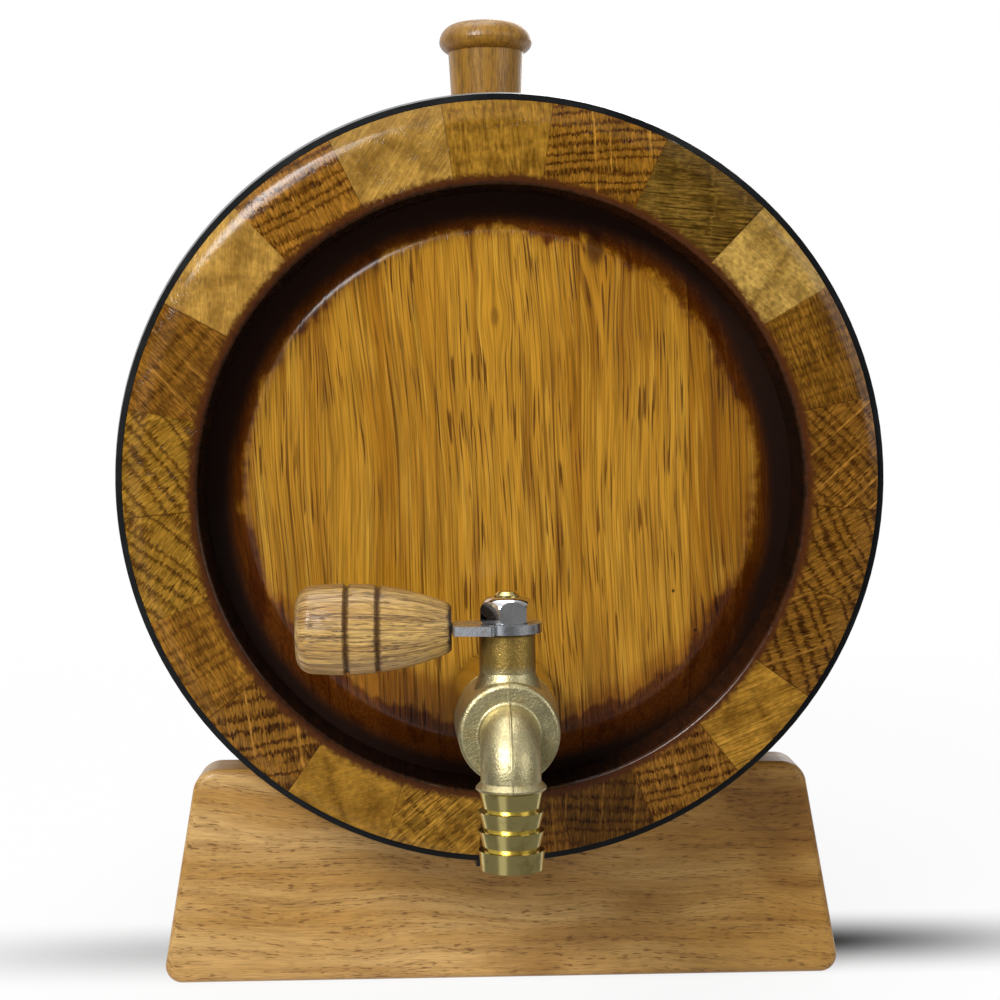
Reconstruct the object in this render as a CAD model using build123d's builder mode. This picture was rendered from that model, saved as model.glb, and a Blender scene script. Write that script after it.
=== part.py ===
"""Oak cask on a cradle stand, with a brass ball tap and a bung.

Millimetres, +Z up. The origin is on the floor, under the middle of the stand. The cask lies
along Y, its tapped head towards -Y, and X runs to the right of someone who faces the tap.
"""

from build123d import *
import os
from math import asin, cos, radians, sin, sqrt

# ---- cask shell ----
cask_length = 260.0
chime_radius = 93.0         # outside of the staves at both ends
bilge_radius = 105.0        # outside of the staves at mid-length
bore_drop = 2.0             # the inside and the heads sit this far below the shell's axis
mouth_radius = 74.7         # inside, from each end to behind the head
belly_radius = 85.5         # inside, at mid-length
mouth_round = 1.0
spare = 1.0                 # cutting shapes run this far past what they cut
crown_depth = 4.5           # chime to the flat of the stave ends, which are rounded off
crown_radius = 12.0
# each stave's width along the chime, clockwise from the bung stave at the top
stave_widths = [27.4, 29.4, 28.9, 25.1, 28.9, 28.2, 24.0, 25.8, 25.5, 24.5, 21.9,
                22.7, 23.7, 26.8, 26.8, 27.6, 26.6, 26.9, 27.3, 28.9, 28.4, 28.9]

# ---- heads ----
head_recess = 14.0          # chime to the head's outer face
head_thickness = 12.0
head_flat_radius = 64.7     # the outer face is flat up to here, then bevelled
head_bevel_drop = 6.3       # how far the bevel falls on its way to the edge
head_bevel_round = 8.0      # between the flat and the bevel
head_edge_thickness = 3.6
croze_depth = 3.0
croze_clearance = 0.1       # on each face of the head's edge in its groove
head_edge_gap = 0.4         # between the head's edge and the groove's bottom
board_joints = [-44.0, -16.0, 20.5, 48.0]   # X of the glued joints
dowel_radius = 2.5
dowel_length = 20.0
dowel_heights = [-30.0, 32.0]               # from the head's centre
glue_gap = 0.05             # round a dowel in its hole

# ---- hoops ----
hoop_thickness = 1.4
hoop_gap = 0.1              # between a hoop and the staves
hoop_setback = 2.6          # chime to the edge of the chime hoop
chime_hoop_width = 22.0
bilge_hoop_width = 20.0
bilge_hoop_centre = 50.0    # from mid-length
lap_angle = 10.0
# where each hoop's lap lies, from +X towards the top
front_chime_lap = -89.3
front_bilge_lap = 24.0
rear_bilge_lap = 156.0
rear_chime_lap = 40.0
rivet_shank_radius = 1.5
rivet_head_radius = 2.8
rivet_head_height = 1.1
rivet_spacing_angle = 4.6

# ---- bung ----
bung_hole_radius = 10.5     # at the outside of the bung stave
bung_taper = 3.0            # degrees to each side
bung_neck_height = 21.6     # bilge to the underside of the mushroom head
bung_tip_out = 2.5          # the tip shows this far inside the cask
bung_head_radius = 14.3
bung_head_height = 9.0
bung_head_widest = 3.2      # neck to the mushroom's widest ring
bung_top_radius = 7.9       # the crown is nearly flat inside this
bung_top_rise = 0.3
bung_tip_chamfer = 1.0
bung_gap = 0.1

# ---- tap, measured forward from the head's outer face ----
tap_drop = 55.7             # cask axis to tap axis
gasket_radius = 11.0
gasket_thickness = 2.0
tap_edge = 1.0              # broken edges of the turned and cast pieces
collar_radius = 13.1
collar_front = 34.5         # joint between the collar and the body
collar_front_radius = 12.4
shank_radius = 8.3
shank_gap = 0.1             # shank in the head's hole
shank_reach = 19.0          # head's outer face to the shank's end inside the cask
waterway_radius = 4.25
plug_radius = 9.4           # the collar's nose, screwed into the body
plug_length = 5.0
barrel_front = 56.0
barrel_front_radius = 11.6
barrel_edge_round = 1.2
chamber_radius = 8.0
chamber_front = 53.0
stem_forward = 46.5         # to the stem's axis and the ball's centre
boss_radius = 6.5
boss_top = 22.1             # tap axis to the top of the stem boss
boss_foot = 1.2             # flare where the boss meets the barrel
boss_edge = 0.4
spout_forward = 65.0        # to the spout's axis
spout_radius = 6.75
elbow_radius = 8.8          # of the spout's centre line
elbow_root_round = 0.8
elbow_to_shoulder = 1.2     # to the shoulder's widest ring
shoulder_radius = 7.9
shoulder_edge = 0.4
shoulder_to_barbs = 1.0
barb_top_step = 0.2         # the first barb starts this much narrower than its rim
barb_radius = 7.35
barb_root_radius = 6.2
barb_pitch = 4.35
barb_count = 4
barb_tip_radius = 7.0
press_gap = 0.05            # between brass pieces that screw or press together

# ---- valve inside the tap ----
ball_radius = 6.5
ball_slot_width = 2.6
ball_slot_depth = 2.1
seat_gap = 0.15             # ball to seat
seat_contact_radius = 5.4
stem_radius = 3.5
running_gap = 0.05          # stem in its boss
collar_height = 8.1         # tap axis to the underside of the stem's collar
stem_collar_radius = 4.5
stem_collar_thickness = 1.8
washer_thickness = 0.8
washer_gap = 0.1
seal_height = 15.0
seal_section_radius = 0.6
thread_radius = 2.95
key_width = 5.0             # across the stem's flats, in the lever
tip_rise = 1.2              # stem tip above the nut
tip_chamfer = 0.8
tongue_length = 5.4

# ---- lever and handle ----
lever_gap = 0.2             # boss to lever
lever_thickness = 2.2
lever_hub_radius = 8.0
arm_front = 9.2             # stem axis to the arm's front edge
arm_back = 5.5
arm_shoulder = 3.0          # stem axis to the arm's square shoulder
arm_front_taper = 1.6       # the arm narrows by this towards the handle, in front
arm_back_taper = 1.0
arm_corner = 0.8
tang_width = 5.0
tang_length = 24.0          # inside the handle
tang_root = 6.0             # into the arm
nut_across_flats = 11.0
nut_height = 6.0
nut_turn = 13.0
nut_foot = 0.6              # corners broken below
nut_crown = 2.6             # corners rounded off this far down from the top
nut_top_radius = 3.9
nut_gap = 0.05
handle_start = 12.8         # stem axis to the handle's near end
handle_length = 35.7
handle_radius = 10.5
handle_neck_radius = 5.75
handle_end_radius = 9.8
handle_widest = 22.5        # near end to the widest ring
handle_end_round = 4.0
groove_places = [16.8, 24.0]                # from the near end
groove_depth = 0.7
tang_hole_radius = 2.9
tang_hole_spare = 1.0       # beyond the tang's end
handle_chamfer = 0.7

# ---- stand ----
cask_clearance = 14.7       # the rail's top to the bilge
cradle_top_drop = 78.0      # cask axis to the boards' top
cradle_bottom_width = 183.0
cradle_top_width = 163.0
cradle_thickness = 18.0
cradle_centre = 81.0        # from the middle of the stand
cradle_gap = 0.3            # cradle to staves
cradle_top_round = 6.5
cradle_bottom_round = 4.5
cradle_edge_round = 2.2
stretcher_width = 80.0
stretcher_height = 16.0
stretcher_edge = 1.0
stand_dowel_radius = 4.0
stand_dowel_spread = 50.0
stand_dowel_in_board = 12.0
stand_dowel_in_rail = 18.0

# ---- worked out ----
half_length = cask_length / 2
crown_flat_radius = chime_radius - crown_depth
axis_height = stretcher_height + cask_clearance + bilge_radius
cradle_height = axis_height - cradle_top_drop
bung_tip_reach = bilge_radius - belly_radius + bore_drop + bung_tip_out
shell_arc = (half_length**2 + (bilge_radius - chime_radius)**2) / (2 * (bilge_radius - chime_radius))
head_face_y = -half_length + head_recess
tap_height = axis_height - tap_drop
stem_y = head_face_y - stem_forward
spout_y = head_face_y - spout_forward
shoulder_drop = elbow_radius + elbow_to_shoulder
spout_end = shoulder_drop + shoulder_to_barbs + barb_count * barb_pitch
plate_bottom = boss_top + lever_gap
plate_top = plate_bottom + lever_thickness
nut_top = plate_top + nut_height
head_edge_radius = mouth_radius + croze_depth - head_edge_gap
inside_y = half_length - head_recess - head_thickness
back_bevel_drop = head_thickness - head_bevel_drop - head_edge_thickness
bevel_share = (mouth_radius - head_flat_radius) / (head_edge_radius - head_flat_radius)

cask_axis = Axis((0, 0, axis_height), (0, -1, 0))
bore_axis = Axis((0, 0, axis_height - bore_drop), (0, -1, 0))
tap_axis = Axis((0, 0, tap_height), (0, -1, 0))
stem_axis = Axis((0, stem_y, 0), (0, 0, 1))
spout_axis = Axis((0, spout_y, 0), (0, 0, 1))

# a half section of the inside: X along the cask, Y out from the bore's axis
bore_plane = Plane(origin=(0, 0, axis_height - bore_drop), x_dir=(0, 1, 0), z_dir=(1, 0, 0))
# half sections of the tap: X forward from the head, Y up
tap_plane = Plane(origin=(0, head_face_y, tap_height), x_dir=(0, -1, 0), z_dir=(-1, 0, 0))
# half sections of the stem and the spout: X to the right, Y up from the tap's axis
stem_plane = Plane(origin=(0, stem_y, tap_height), x_dir=(1, 0, 0), z_dir=(0, -1, 0))
spout_plane = Plane(origin=(0, spout_y, tap_height), x_dir=(1, 0, 0), z_dir=(0, -1, 0))


def shell_radius(along, outward=0.0):
    """Radius of the staves' outside at a distance from mid-length, or of an arc outward of it."""
    return bilge_radius - shell_arc + sqrt((shell_arc + outward)**2 - along**2)


def radial_plane(angle):
    """Plane through the cask's axis: X along the cask, Y outwards at this angle from +X."""
    return Plane(
        origin=(0, 0, axis_height), x_dir=(0, 1, 0),
        z_dir=(sin(radians(angle)), 0, -cos(radians(angle))))


def save(builder, name):
    builder.part.label = name
    export_step(builder.part, f"parts/{name}.step")


# ---- cask inside, stave ends, bung hole: the shapes cut from every stave ----

def make_cask_cuts():
    groove_front = half_length - head_recess - bevel_share * head_bevel_drop + croze_clearance
    groove_back = inside_y + bevel_share * back_bevel_drop - croze_clearance
    groove_radius = mouth_radius + croze_depth
    round_start = half_length - mouth_round
    round_fall = mouth_round * (1 - cos(radians(45)))
    round_end = mouth_radius + mouth_round
    with BuildPart() as hollow:
        with BuildSketch(bore_plane):
            with BuildLine():
                ThreePointArc(
                    (-inside_y, mouth_radius), (0, belly_radius), (inside_y, mouth_radius))
                for end in (1, -1):
                    Polyline(
                        (end * inside_y, mouth_radius), (end * groove_back, mouth_radius),
                        (end * groove_back, groove_radius), (end * groove_front, groove_radius),
                        (end * groove_front, mouth_radius), (end * round_start, mouth_radius))
                    ThreePointArc(
                        (end * round_start, mouth_radius),
                        (end * (half_length - round_fall), mouth_radius + round_fall),
                        (end * half_length, round_end))
                    Polyline(
                        (end * half_length, round_end), (end * (half_length + spare), round_end),
                        (end * (half_length + spare), 0))
                Line((-half_length - spare, 0), (half_length + spare, 0))
            make_face()
        revolve(axis=bore_axis)
    return hollow


def make_crown_cut():
    reach = radians(60)
    arc_end_y = half_length - crown_radius * (1 - cos(reach))
    arc_end_radius = crown_flat_radius + crown_radius * sin(reach)
    arc_mid_y = half_length - crown_radius * (1 - cos(reach / 2))
    arc_mid_radius = crown_flat_radius + crown_radius * sin(reach / 2)
    outside = chime_radius + crown_radius + bore_drop
    with BuildPart() as crown:
        with BuildSketch(bore_plane):
            for end in (1, -1):
                with BuildLine():
                    ThreePointArc(
                        (end * half_length, crown_flat_radius),
                        (end * arc_mid_y, arc_mid_radius),
                        (end * arc_end_y, arc_end_radius))
                    Polyline(
                        (end * arc_end_y, arc_end_radius),
                        (end * arc_end_y, outside),
                        (end * (half_length + spare), outside),
                        (end * (half_length + spare), crown_flat_radius),
                        (end * half_length, crown_flat_radius))
                make_face()
        revolve(axis=bore_axis)
    return crown


def bung_radius(height):
    """The bung hole's radius at a height from the outside of the bung stave."""
    return bung_hole_radius + height * sin(radians(bung_taper)) / cos(radians(bung_taper))


def make_bung_hole():
    top = bilge_radius + spare
    bottom = bilge_radius - bung_tip_reach - spare
    with BuildPart() as bung_hole:
        with BuildSketch(Plane.XZ):
            with BuildLine():
                Polyline(
                    (0, axis_height + bottom),
                    (bung_radius(bottom - bilge_radius), axis_height + bottom),
                    (bung_radius(top - bilge_radius), axis_height + top),
                    (0, axis_height + top),
                    (0, axis_height + bottom))
            make_face()
        revolve(axis=Axis.Z)
    return bung_hole


def make_staves():
    hollow = make_cask_cuts()
    crown = make_crown_cut()
    bung_hole = make_bung_hole()
    inner = mouth_radius - bore_drop - spare
    total = sum(stave_widths)
    angle = 90 + 180 * stave_widths[0] / total
    for number, width in enumerate(stave_widths, start=1):
        turn = 360 * width / total
        angle -= turn
        with BuildPart() as stave:
            with BuildSketch(radial_plane(angle)):
                with BuildLine():
                    ThreePointArc(
                        (-half_length, chime_radius), (0, bilge_radius), (half_length, chime_radius))
                    Polyline(
                        (half_length, chime_radius), (half_length, inner),
                        (-half_length, inner), (-half_length, chime_radius))
                make_face()
            revolve(axis=cask_axis, revolution_arc=turn)
            add(hollow.part, mode=Mode.SUBTRACT)
            add(crown.part, mode=Mode.SUBTRACT)
            if number == 1:
                add(bung_hole.part, mode=Mode.SUBTRACT)
        save(stave, f"stave_{number:02d}")


# ---- heads: edge-joined boards with bevelled rims, held in the croze ----

def make_head(name, end):
    """end is -1 for the tapped head in front and 1 for the plain head behind."""
    outer_y = end * (half_length - head_recess)
    inner_y = end * inside_y
    edge_outer_y = outer_y - end * head_bevel_drop
    edge_inner_y = edge_outer_y - end * head_edge_thickness
    with BuildPart() as disc:
        with BuildSketch(bore_plane) as profile:
            with BuildLine():
                Polyline(
                    (outer_y, 0), (outer_y, head_flat_radius),
                    (edge_outer_y, head_edge_radius), (edge_inner_y, head_edge_radius),
                    (inner_y, head_flat_radius), (inner_y, 0), (outer_y, 0))
            make_face()
            near = 0.01
            bends = profile.vertices().filter_by_position(
                Axis.Y, head_flat_radius - near, head_flat_radius + near)
            fillet(bends, radius=head_bevel_round)
        revolve(axis=bore_axis)
        if end < 0:
            with BuildSketch(Plane(origin=(0, outer_y - spare, tap_height), z_dir=(0, 1, 0))):
                Circle(shank_radius + shank_gap)
            extrude(amount=head_thickness + 2 * spare, mode=Mode.SUBTRACT)
    dowel_y = (outer_y + inner_y) / 2
    centre_z = axis_height - bore_drop
    edges = [-head_edge_radius - spare, *board_joints, head_edge_radius + spare]
    with BuildPart() as dowels:
        for joint in board_joints:
            for height in dowel_heights:
                with BuildSketch(Plane.YZ.offset(joint - dowel_length / 2)):
                    with Locations((dowel_y, centre_z + height)):
                        Circle(dowel_radius)
                extrude(amount=dowel_length)
    with BuildPart() as dowel_holes:
        for joint in board_joints:
            for height in dowel_heights:
                with BuildSketch(Plane.YZ.offset(joint - dowel_length / 2 - glue_gap)):
                    with Locations((dowel_y, centre_z + height)):
                        Circle(dowel_radius + glue_gap)
                extrude(amount=dowel_length + 2 * glue_gap)
    for number, (left, right) in enumerate(zip(edges, edges[1:]), start=1):
        with BuildPart() as board:
            add(disc.part)
            with BuildSketch(Plane.XZ.offset(-max(outer_y, inner_y) - spare)):
                with Locations(((left + right) / 2, centre_z)):
                    Rectangle(right - left, 2 * (head_edge_radius + spare))
            extrude(amount=head_thickness + 2 * spare, mode=Mode.INTERSECT)
            add(dowel_holes.part, mode=Mode.SUBTRACT)
        save(board, f"{name}_board_{number}")
    save(dowels, f"{name}_dowels")


# ---- hoops: tapered strip steel with a riveted lap ----

def hoop_points(near, far, outward):
    """Three points along the staves' curve, this far outside it."""
    return [(along, shell_radius(along, outward)) for along in (near, (near + far) / 2, far)]


def rivet_angles(lap_centre):
    return [lap_centre - rivet_spacing_angle / 2, lap_centre + rivet_spacing_angle / 2]


def rivet_plane(centre_y, angle):
    """On the staves' outside, Z square to it."""
    foot = shell_radius(centre_y)
    lean = centre_y / shell_arc
    upright = sqrt(1 - lean**2)
    across = (-sin(radians(angle)), 0, cos(radians(angle)))
    return Plane(
        origin=(foot * cos(radians(angle)), centre_y, axis_height + foot * sin(radians(angle))),
        x_dir=across, z_dir=(upright * cos(radians(angle)), lean, upright * sin(radians(angle))))


def make_rivet():
    """One rivet standing on the origin, its head domed."""
    foot = hoop_gap
    top = hoop_gap + 2 * hoop_thickness
    dome_radius = (rivet_head_radius**2 + rivet_head_height**2) / (2 * rivet_head_height)
    dome_centre = top + rivet_head_height - dome_radius
    half_reach = asin(rivet_head_radius / dome_radius) / 2
    with BuildPart() as rivet:
        with BuildSketch(Plane.XZ):
            with BuildLine():
                Polyline(
                    (0, foot), (rivet_shank_radius, foot), (rivet_shank_radius, top),
                    (rivet_head_radius, top))
                ThreePointArc(
                    (rivet_head_radius, top),
                    (dome_radius * sin(half_reach), dome_centre + dome_radius * cos(half_reach)),
                    (0, top + rivet_head_height))
                Line((0, top + rivet_head_height), (0, foot))
            make_face()
        revolve(axis=Axis.Z)
    return rivet


def make_hoop(name, near, far, lap_centre):
    band_top = hoop_gap + hoop_thickness
    layers = [
        (hoop_gap, band_top, lap_centre, 360),
        (band_top - hoop_thickness / 2, band_top + hoop_thickness, lap_centre - lap_angle / 2, lap_angle)]
    with BuildPart() as hoop:
        for inside, outside, start, turn in layers:
            inner = hoop_points(near, far, inside)
            outer = hoop_points(near, far, outside)
            with BuildSketch(radial_plane(start)):
                with BuildLine():
                    ThreePointArc(*inner)
                    Line(inner[2], outer[2])
                    ThreePointArc(*outer)
                    Line(outer[0], inner[0])
                make_face()
            revolve(axis=cask_axis, revolution_arc=turn)
        for angle in rivet_angles(lap_centre):
            with BuildSketch(rivet_plane((near + far) / 2, angle)):
                Circle(rivet_shank_radius + glue_gap)
            extrude(amount=4 * hoop_thickness, mode=Mode.SUBTRACT)
    save(hoop, name)


def make_hoops():
    edge = half_length - hoop_setback
    inner_edge = edge - chime_hoop_width
    bilge_near = bilge_hoop_centre - bilge_hoop_width / 2
    bilge_far = bilge_hoop_centre + bilge_hoop_width / 2
    places = {
        "front_chime_hoop": (-edge, -inner_edge, front_chime_lap),
        "front_bilge_hoop": (-bilge_far, -bilge_near, front_bilge_lap),
        "rear_bilge_hoop": (bilge_near, bilge_far, rear_bilge_lap),
        "rear_chime_hoop": (inner_edge, edge, rear_chime_lap)}
    for name, (near, far, lap_centre) in places.items():
        make_hoop(name, near, far, lap_centre)
    rivet = make_rivet()
    with BuildPart() as rivets:
        for near, far, lap_centre in places.values():
            for angle in rivet_angles(lap_centre):
                with Locations(rivet_plane((near + far) / 2, angle)):
                    add(rivet.part)
    save(rivets, "hoop_rivets")


# ---- bung ----

def make_bung():
    base = axis_height + bilge_radius
    tip = base - bung_tip_reach
    tip_radius = bung_radius(-bung_tip_reach) - bung_gap
    neck = base + bung_neck_height
    neck_radius = bung_radius(bung_neck_height) - bung_gap
    flare = bung_head_radius - neck_radius
    widest = neck + bung_head_widest
    top = neck + bung_head_height
    crown_rise = bung_head_height - bung_head_widest
    with BuildPart() as bung:
        with BuildSketch(Plane.XZ):
            with BuildLine():
                Polyline(
                    (0, tip), (tip_radius - bung_tip_chamfer, tip), (tip_radius, tip + bung_tip_chamfer),
                    (neck_radius, neck))
                ThreePointArc(
                    (neck_radius, neck),
                    (bung_head_radius - 0.3 * flare, neck + 0.4 * bung_head_widest),
                    (bung_head_radius, widest))
                ThreePointArc(
                    (bung_head_radius, widest),
                    (0.86 * bung_head_radius, widest + 0.72 * crown_rise),
                    (bung_top_radius, top - bung_top_rise))
                Polyline((bung_top_radius, top - bung_top_rise), (0, top), (0, tip))
            make_face()
        revolve(axis=Axis.Z)
    save(bung, "bung")


# ---- tap: gasket, collar with its shank, body with boss and spout ----

def make_gasket():
    with BuildPart() as gasket:
        with BuildSketch(tap_plane):
            Polygon(
                (0, shank_radius + shank_gap), (gasket_thickness, shank_radius + shank_gap),
                (gasket_thickness, gasket_radius), (0, gasket_radius),
                align=None)
        revolve(axis=tap_axis)
    save(gasket, "tap_gasket")


def make_shank():
    with BuildPart() as shank:
        with BuildSketch(tap_plane):
            Polygon(
                (-shank_reach, waterway_radius),
                (-shank_reach, shank_radius - tap_edge),
                (-shank_reach + tap_edge, shank_radius),
                (gasket_thickness, shank_radius),
                (gasket_thickness, collar_radius),
                (collar_front - tap_edge / 2, collar_front_radius),
                (collar_front, collar_front_radius - tap_edge / 2),
                (collar_front, plug_radius),
                (collar_front + plug_length, plug_radius),
                (collar_front + plug_length, waterway_radius),
                align=None)
        revolve(axis=tap_axis)
    save(shank, "tap_shank")


def make_tap_body():
    joint = collar_front + press_gap
    bend_start = spout_forward - elbow_radius
    bend_fall = elbow_radius * (1 - cos(radians(45)))
    draft = (collar_front_radius - barrel_front_radius) / (barrel_front - collar_front)
    edge_y = barrel_front - barrel_edge_round
    edge_radius = barrel_front_radius + draft * barrel_edge_round
    round_mid = barrel_edge_round * (1 - sin(radians(45)))
    with BuildPart() as body:
        # barrel with cast draft and a rounded front edge
        with BuildSketch(tap_plane):
            with BuildLine():
                Polyline(
                    (joint, 0), (joint, collar_front_radius - tap_edge / 2),
                    (joint + tap_edge / 2, collar_front_radius), (edge_y, edge_radius))
                ThreePointArc(
                    (edge_y, edge_radius),
                    (barrel_front - round_mid, edge_radius - round_mid),
                    (barrel_front, edge_radius - barrel_edge_round))
                Polyline(
                    (barrel_front, edge_radius - barrel_edge_round), (barrel_front, 0), (joint, 0))
            make_face()
        revolve(axis=tap_axis)
        # stem boss, flared at its foot
        foot = sqrt(edge_radius**2 - boss_radius**2)
        with BuildSketch(stem_plane):
            Polygon(
                (0, 0), (boss_radius + boss_foot, 0), (boss_radius + boss_foot, foot),
                (boss_radius, edge_radius + 1.2 * boss_foot), (boss_radius, boss_top - boss_edge),
                (boss_radius - boss_edge, boss_top), (0, boss_top),
                align=None)
        revolve(axis=stem_axis)
        # elbow
        with BuildLine(tap_plane) as centre_line:
            Line((barrel_front - spare, 0), (bend_start, 0))
            ThreePointArc(
                (bend_start, 0), (spout_forward - bend_fall, -bend_fall), (spout_forward, -elbow_radius))
            Line((spout_forward, -elbow_radius), (spout_forward, -shoulder_drop))
        with BuildSketch(Plane(origin=centre_line.line @ 0, z_dir=(0, -1, 0))):
            Circle(spout_radius)
        sweep(path=centre_line.line)
        # small fillet where the elbow leaves the barrel
        root = body.edges().filter_by(GeomType.CIRCLE).filter_by_position(
            Axis.Y, head_face_y - barrel_front - press_gap, head_face_y - barrel_front + press_gap)
        root = root.group_by(SortBy.RADIUS)[0]
        fillet(root, radius=elbow_root_round)
        # shoulder and barbs
        with BuildSketch(spout_plane):
            barb_top = shoulder_drop + shoulder_to_barbs
            points = [
                (0, -elbow_radius), (spout_radius, -elbow_radius), (shoulder_radius, -shoulder_drop),
                (shoulder_radius, -shoulder_drop - shoulder_edge), (barb_radius - barb_top_step, -barb_top)]
            for number in range(1, barb_count):
                depth = barb_top + number * barb_pitch
                points += [(barb_root_radius, -depth), (barb_radius, -depth)]
            points += [(barb_tip_radius, -spout_end), (0, -spout_end)]
            Polygon(*points, align=None)
        revolve(axis=spout_axis)
        # waterway, ball chamber and the thread for the collar's plug
        with BuildLine(tap_plane) as water_line:
            Line((chamber_front - spare, 0), (bend_start, 0))
            ThreePointArc(
                (bend_start, 0), (spout_forward - bend_fall, -bend_fall), (spout_forward, -elbow_radius))
            Line((spout_forward, -elbow_radius), (spout_forward, -spout_end - spare))
        with BuildSketch(Plane(origin=water_line.line @ 0, z_dir=(0, -1, 0))):
            Circle(waterway_radius)
        sweep(path=water_line.line, mode=Mode.SUBTRACT)
        with BuildSketch(tap_plane):
            thread_end = collar_front + plug_length + press_gap
            Polygon(
                (joint - spare, 0), (joint - spare, plug_radius + press_gap),
                (thread_end, plug_radius + press_gap),
                (thread_end, chamber_radius), (chamber_front, chamber_radius), (chamber_front, 0),
                align=None)
        revolve(axis=tap_axis, mode=Mode.SUBTRACT)
        # stem bore and the pocket of its collar
        pocket_top = collar_height + stem_collar_thickness + washer_thickness + 2 * washer_gap
        pocket_radius = stem_collar_radius + 2 * washer_gap
        bore_radius = stem_radius + running_gap
        with BuildSketch(stem_plane):
            Polygon(
                (0, 0), (pocket_radius, 0), (pocket_radius, pocket_top), (bore_radius, pocket_top),
                (bore_radius, boss_top + spare), (0, boss_top + spare),
                align=None)
        revolve(axis=stem_axis, mode=Mode.SUBTRACT)
    save(body, "tap_body")


# ---- valve: ball, seats, stem, seal and washer ----

def make_seats():
    reach = sqrt((ball_radius + seat_gap)**2 - seat_contact_radius**2)
    back = collar_front + plug_length + press_gap
    for name, start, side in (
            ("front_ball_seat", chamber_front - press_gap, 1), ("rear_ball_seat", back, -1)):
        lip = stem_forward + side * reach
        with BuildPart() as seat:
            with BuildSketch(tap_plane):
                Polygon(
                    (start, waterway_radius + press_gap), (start, chamber_radius - press_gap),
                    (lip, chamber_radius - press_gap), (lip, waterway_radius + press_gap),
                    align=None)
            revolve(axis=tap_axis)
            with Locations((0, stem_y, tap_height)):
                Sphere(ball_radius + seat_gap, mode=Mode.SUBTRACT)
        save(seat, name)


def make_ball():
    with BuildPart() as ball:
        with Locations((0, stem_y, tap_height)):
            Sphere(ball_radius)
        with BuildSketch(Plane.YZ.offset(-ball_radius - spare)):
            with Locations((stem_y, tap_height)):
                Circle(waterway_radius)
        extrude(amount=2 * (ball_radius + spare), mode=Mode.SUBTRACT)
        with BuildSketch(Plane.XY.offset(tap_height + ball_radius - ball_slot_depth)):
            with Locations((0, stem_y)):
                Rectangle(ball_slot_width, 2 * ball_radius)
        extrude(amount=ball_slot_depth + spare, mode=Mode.SUBTRACT)
    save(ball, "valve_ball")


def make_stem():
    collar_top = collar_height + stem_collar_thickness
    groove_half = seal_section_radius + running_gap
    groove_radius = stem_radius - 2 * seal_section_radius
    tip = nut_top + tip_rise
    with BuildPart() as stem:
        with BuildSketch(stem_plane):
            Polygon(
                (0, collar_height), (stem_collar_radius, collar_height),
                (stem_collar_radius, collar_top), (stem_radius, collar_top),
                (stem_radius, seal_height - groove_half), (groove_radius, seal_height - groove_half),
                (groove_radius, seal_height + groove_half), (stem_radius, seal_height + groove_half),
                (stem_radius, plate_bottom),
                (thread_radius, plate_bottom), (thread_radius, tip - tip_chamfer),
                (thread_radius - tip_chamfer, tip), (0, tip),
                align=None)
        revolve(axis=stem_axis)
        # tongue that turns the ball
        tongue_foot = ball_radius - ball_slot_depth + running_gap
        with BuildSketch(Plane.XY.offset(tap_height + tongue_foot)):
            with Locations((0, stem_y)):
                Rectangle(ball_slot_width - 2 * running_gap, tongue_length)
        extrude(amount=collar_height - tongue_foot)
        # flats that turn with the lever
        with BuildSketch(Plane.XY.offset(tap_height + plate_bottom)):
            with Locations((0, stem_y)):
                Circle(thread_radius + spare)
                Rectangle(2 * (thread_radius + 2 * spare), key_width, mode=Mode.SUBTRACT)
        extrude(amount=lever_thickness + nut_gap, mode=Mode.SUBTRACT)
    save(stem, "valve_stem")


def make_stem_rings():
    seal_outer = stem_radius - seal_section_radius
    with BuildPart() as seal:
        with BuildSketch(stem_plane):
            with Locations((seal_outer, seal_height)):
                Circle(seal_section_radius)
        revolve(axis=stem_axis)
    save(seal, "stem_seal")
    washer_bottom = collar_height + stem_collar_thickness + washer_gap
    washer_inner = stem_radius + 2 * running_gap
    with BuildPart() as washer:
        with BuildSketch(stem_plane):
            Polygon(
                (washer_inner, washer_bottom), (stem_collar_radius, washer_bottom),
                (stem_collar_radius, washer_bottom + washer_thickness),
                (washer_inner, washer_bottom + washer_thickness),
                align=None)
        revolve(axis=stem_axis)
    save(washer, "thrust_washer")


# ---- lever, nut and handle ----

def make_lever():
    arm_end = -handle_start + lever_gap
    with BuildPart() as lever:
        with BuildSketch(Plane.XY.offset(tap_height + plate_bottom)):
            with Locations((0, stem_y)):
                Circle(lever_hub_radius)
                with BuildSketch(mode=Mode.PRIVATE) as arm:
                    with BuildLine():
                        Polyline(
                            (-arm_shoulder, -arm_front), (arm_end, -arm_front + arm_front_taper),
                            (arm_end, arm_back - arm_back_taper), (-arm_shoulder, arm_back),
                            (-arm_shoulder, -arm_front))
                    make_face()
                    fillet(arm.vertices(), radius=arm_corner)
                add(arm.sketch)
                with Locations((-handle_start - tang_length, 0)):
                    Rectangle(tang_length + tang_root, tang_width, align=(Align.MIN, Align.CENTER))
            with Locations((0, stem_y)):
                with BuildSketch(mode=Mode.PRIVATE) as key:
                    Circle(thread_radius + running_gap)
                    Rectangle(
                        2 * (thread_radius + spare), key_width + 2 * running_gap, mode=Mode.INTERSECT)
                add(key.sketch, mode=Mode.SUBTRACT)
        extrude(amount=lever_thickness)
    save(lever, "lever")


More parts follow.
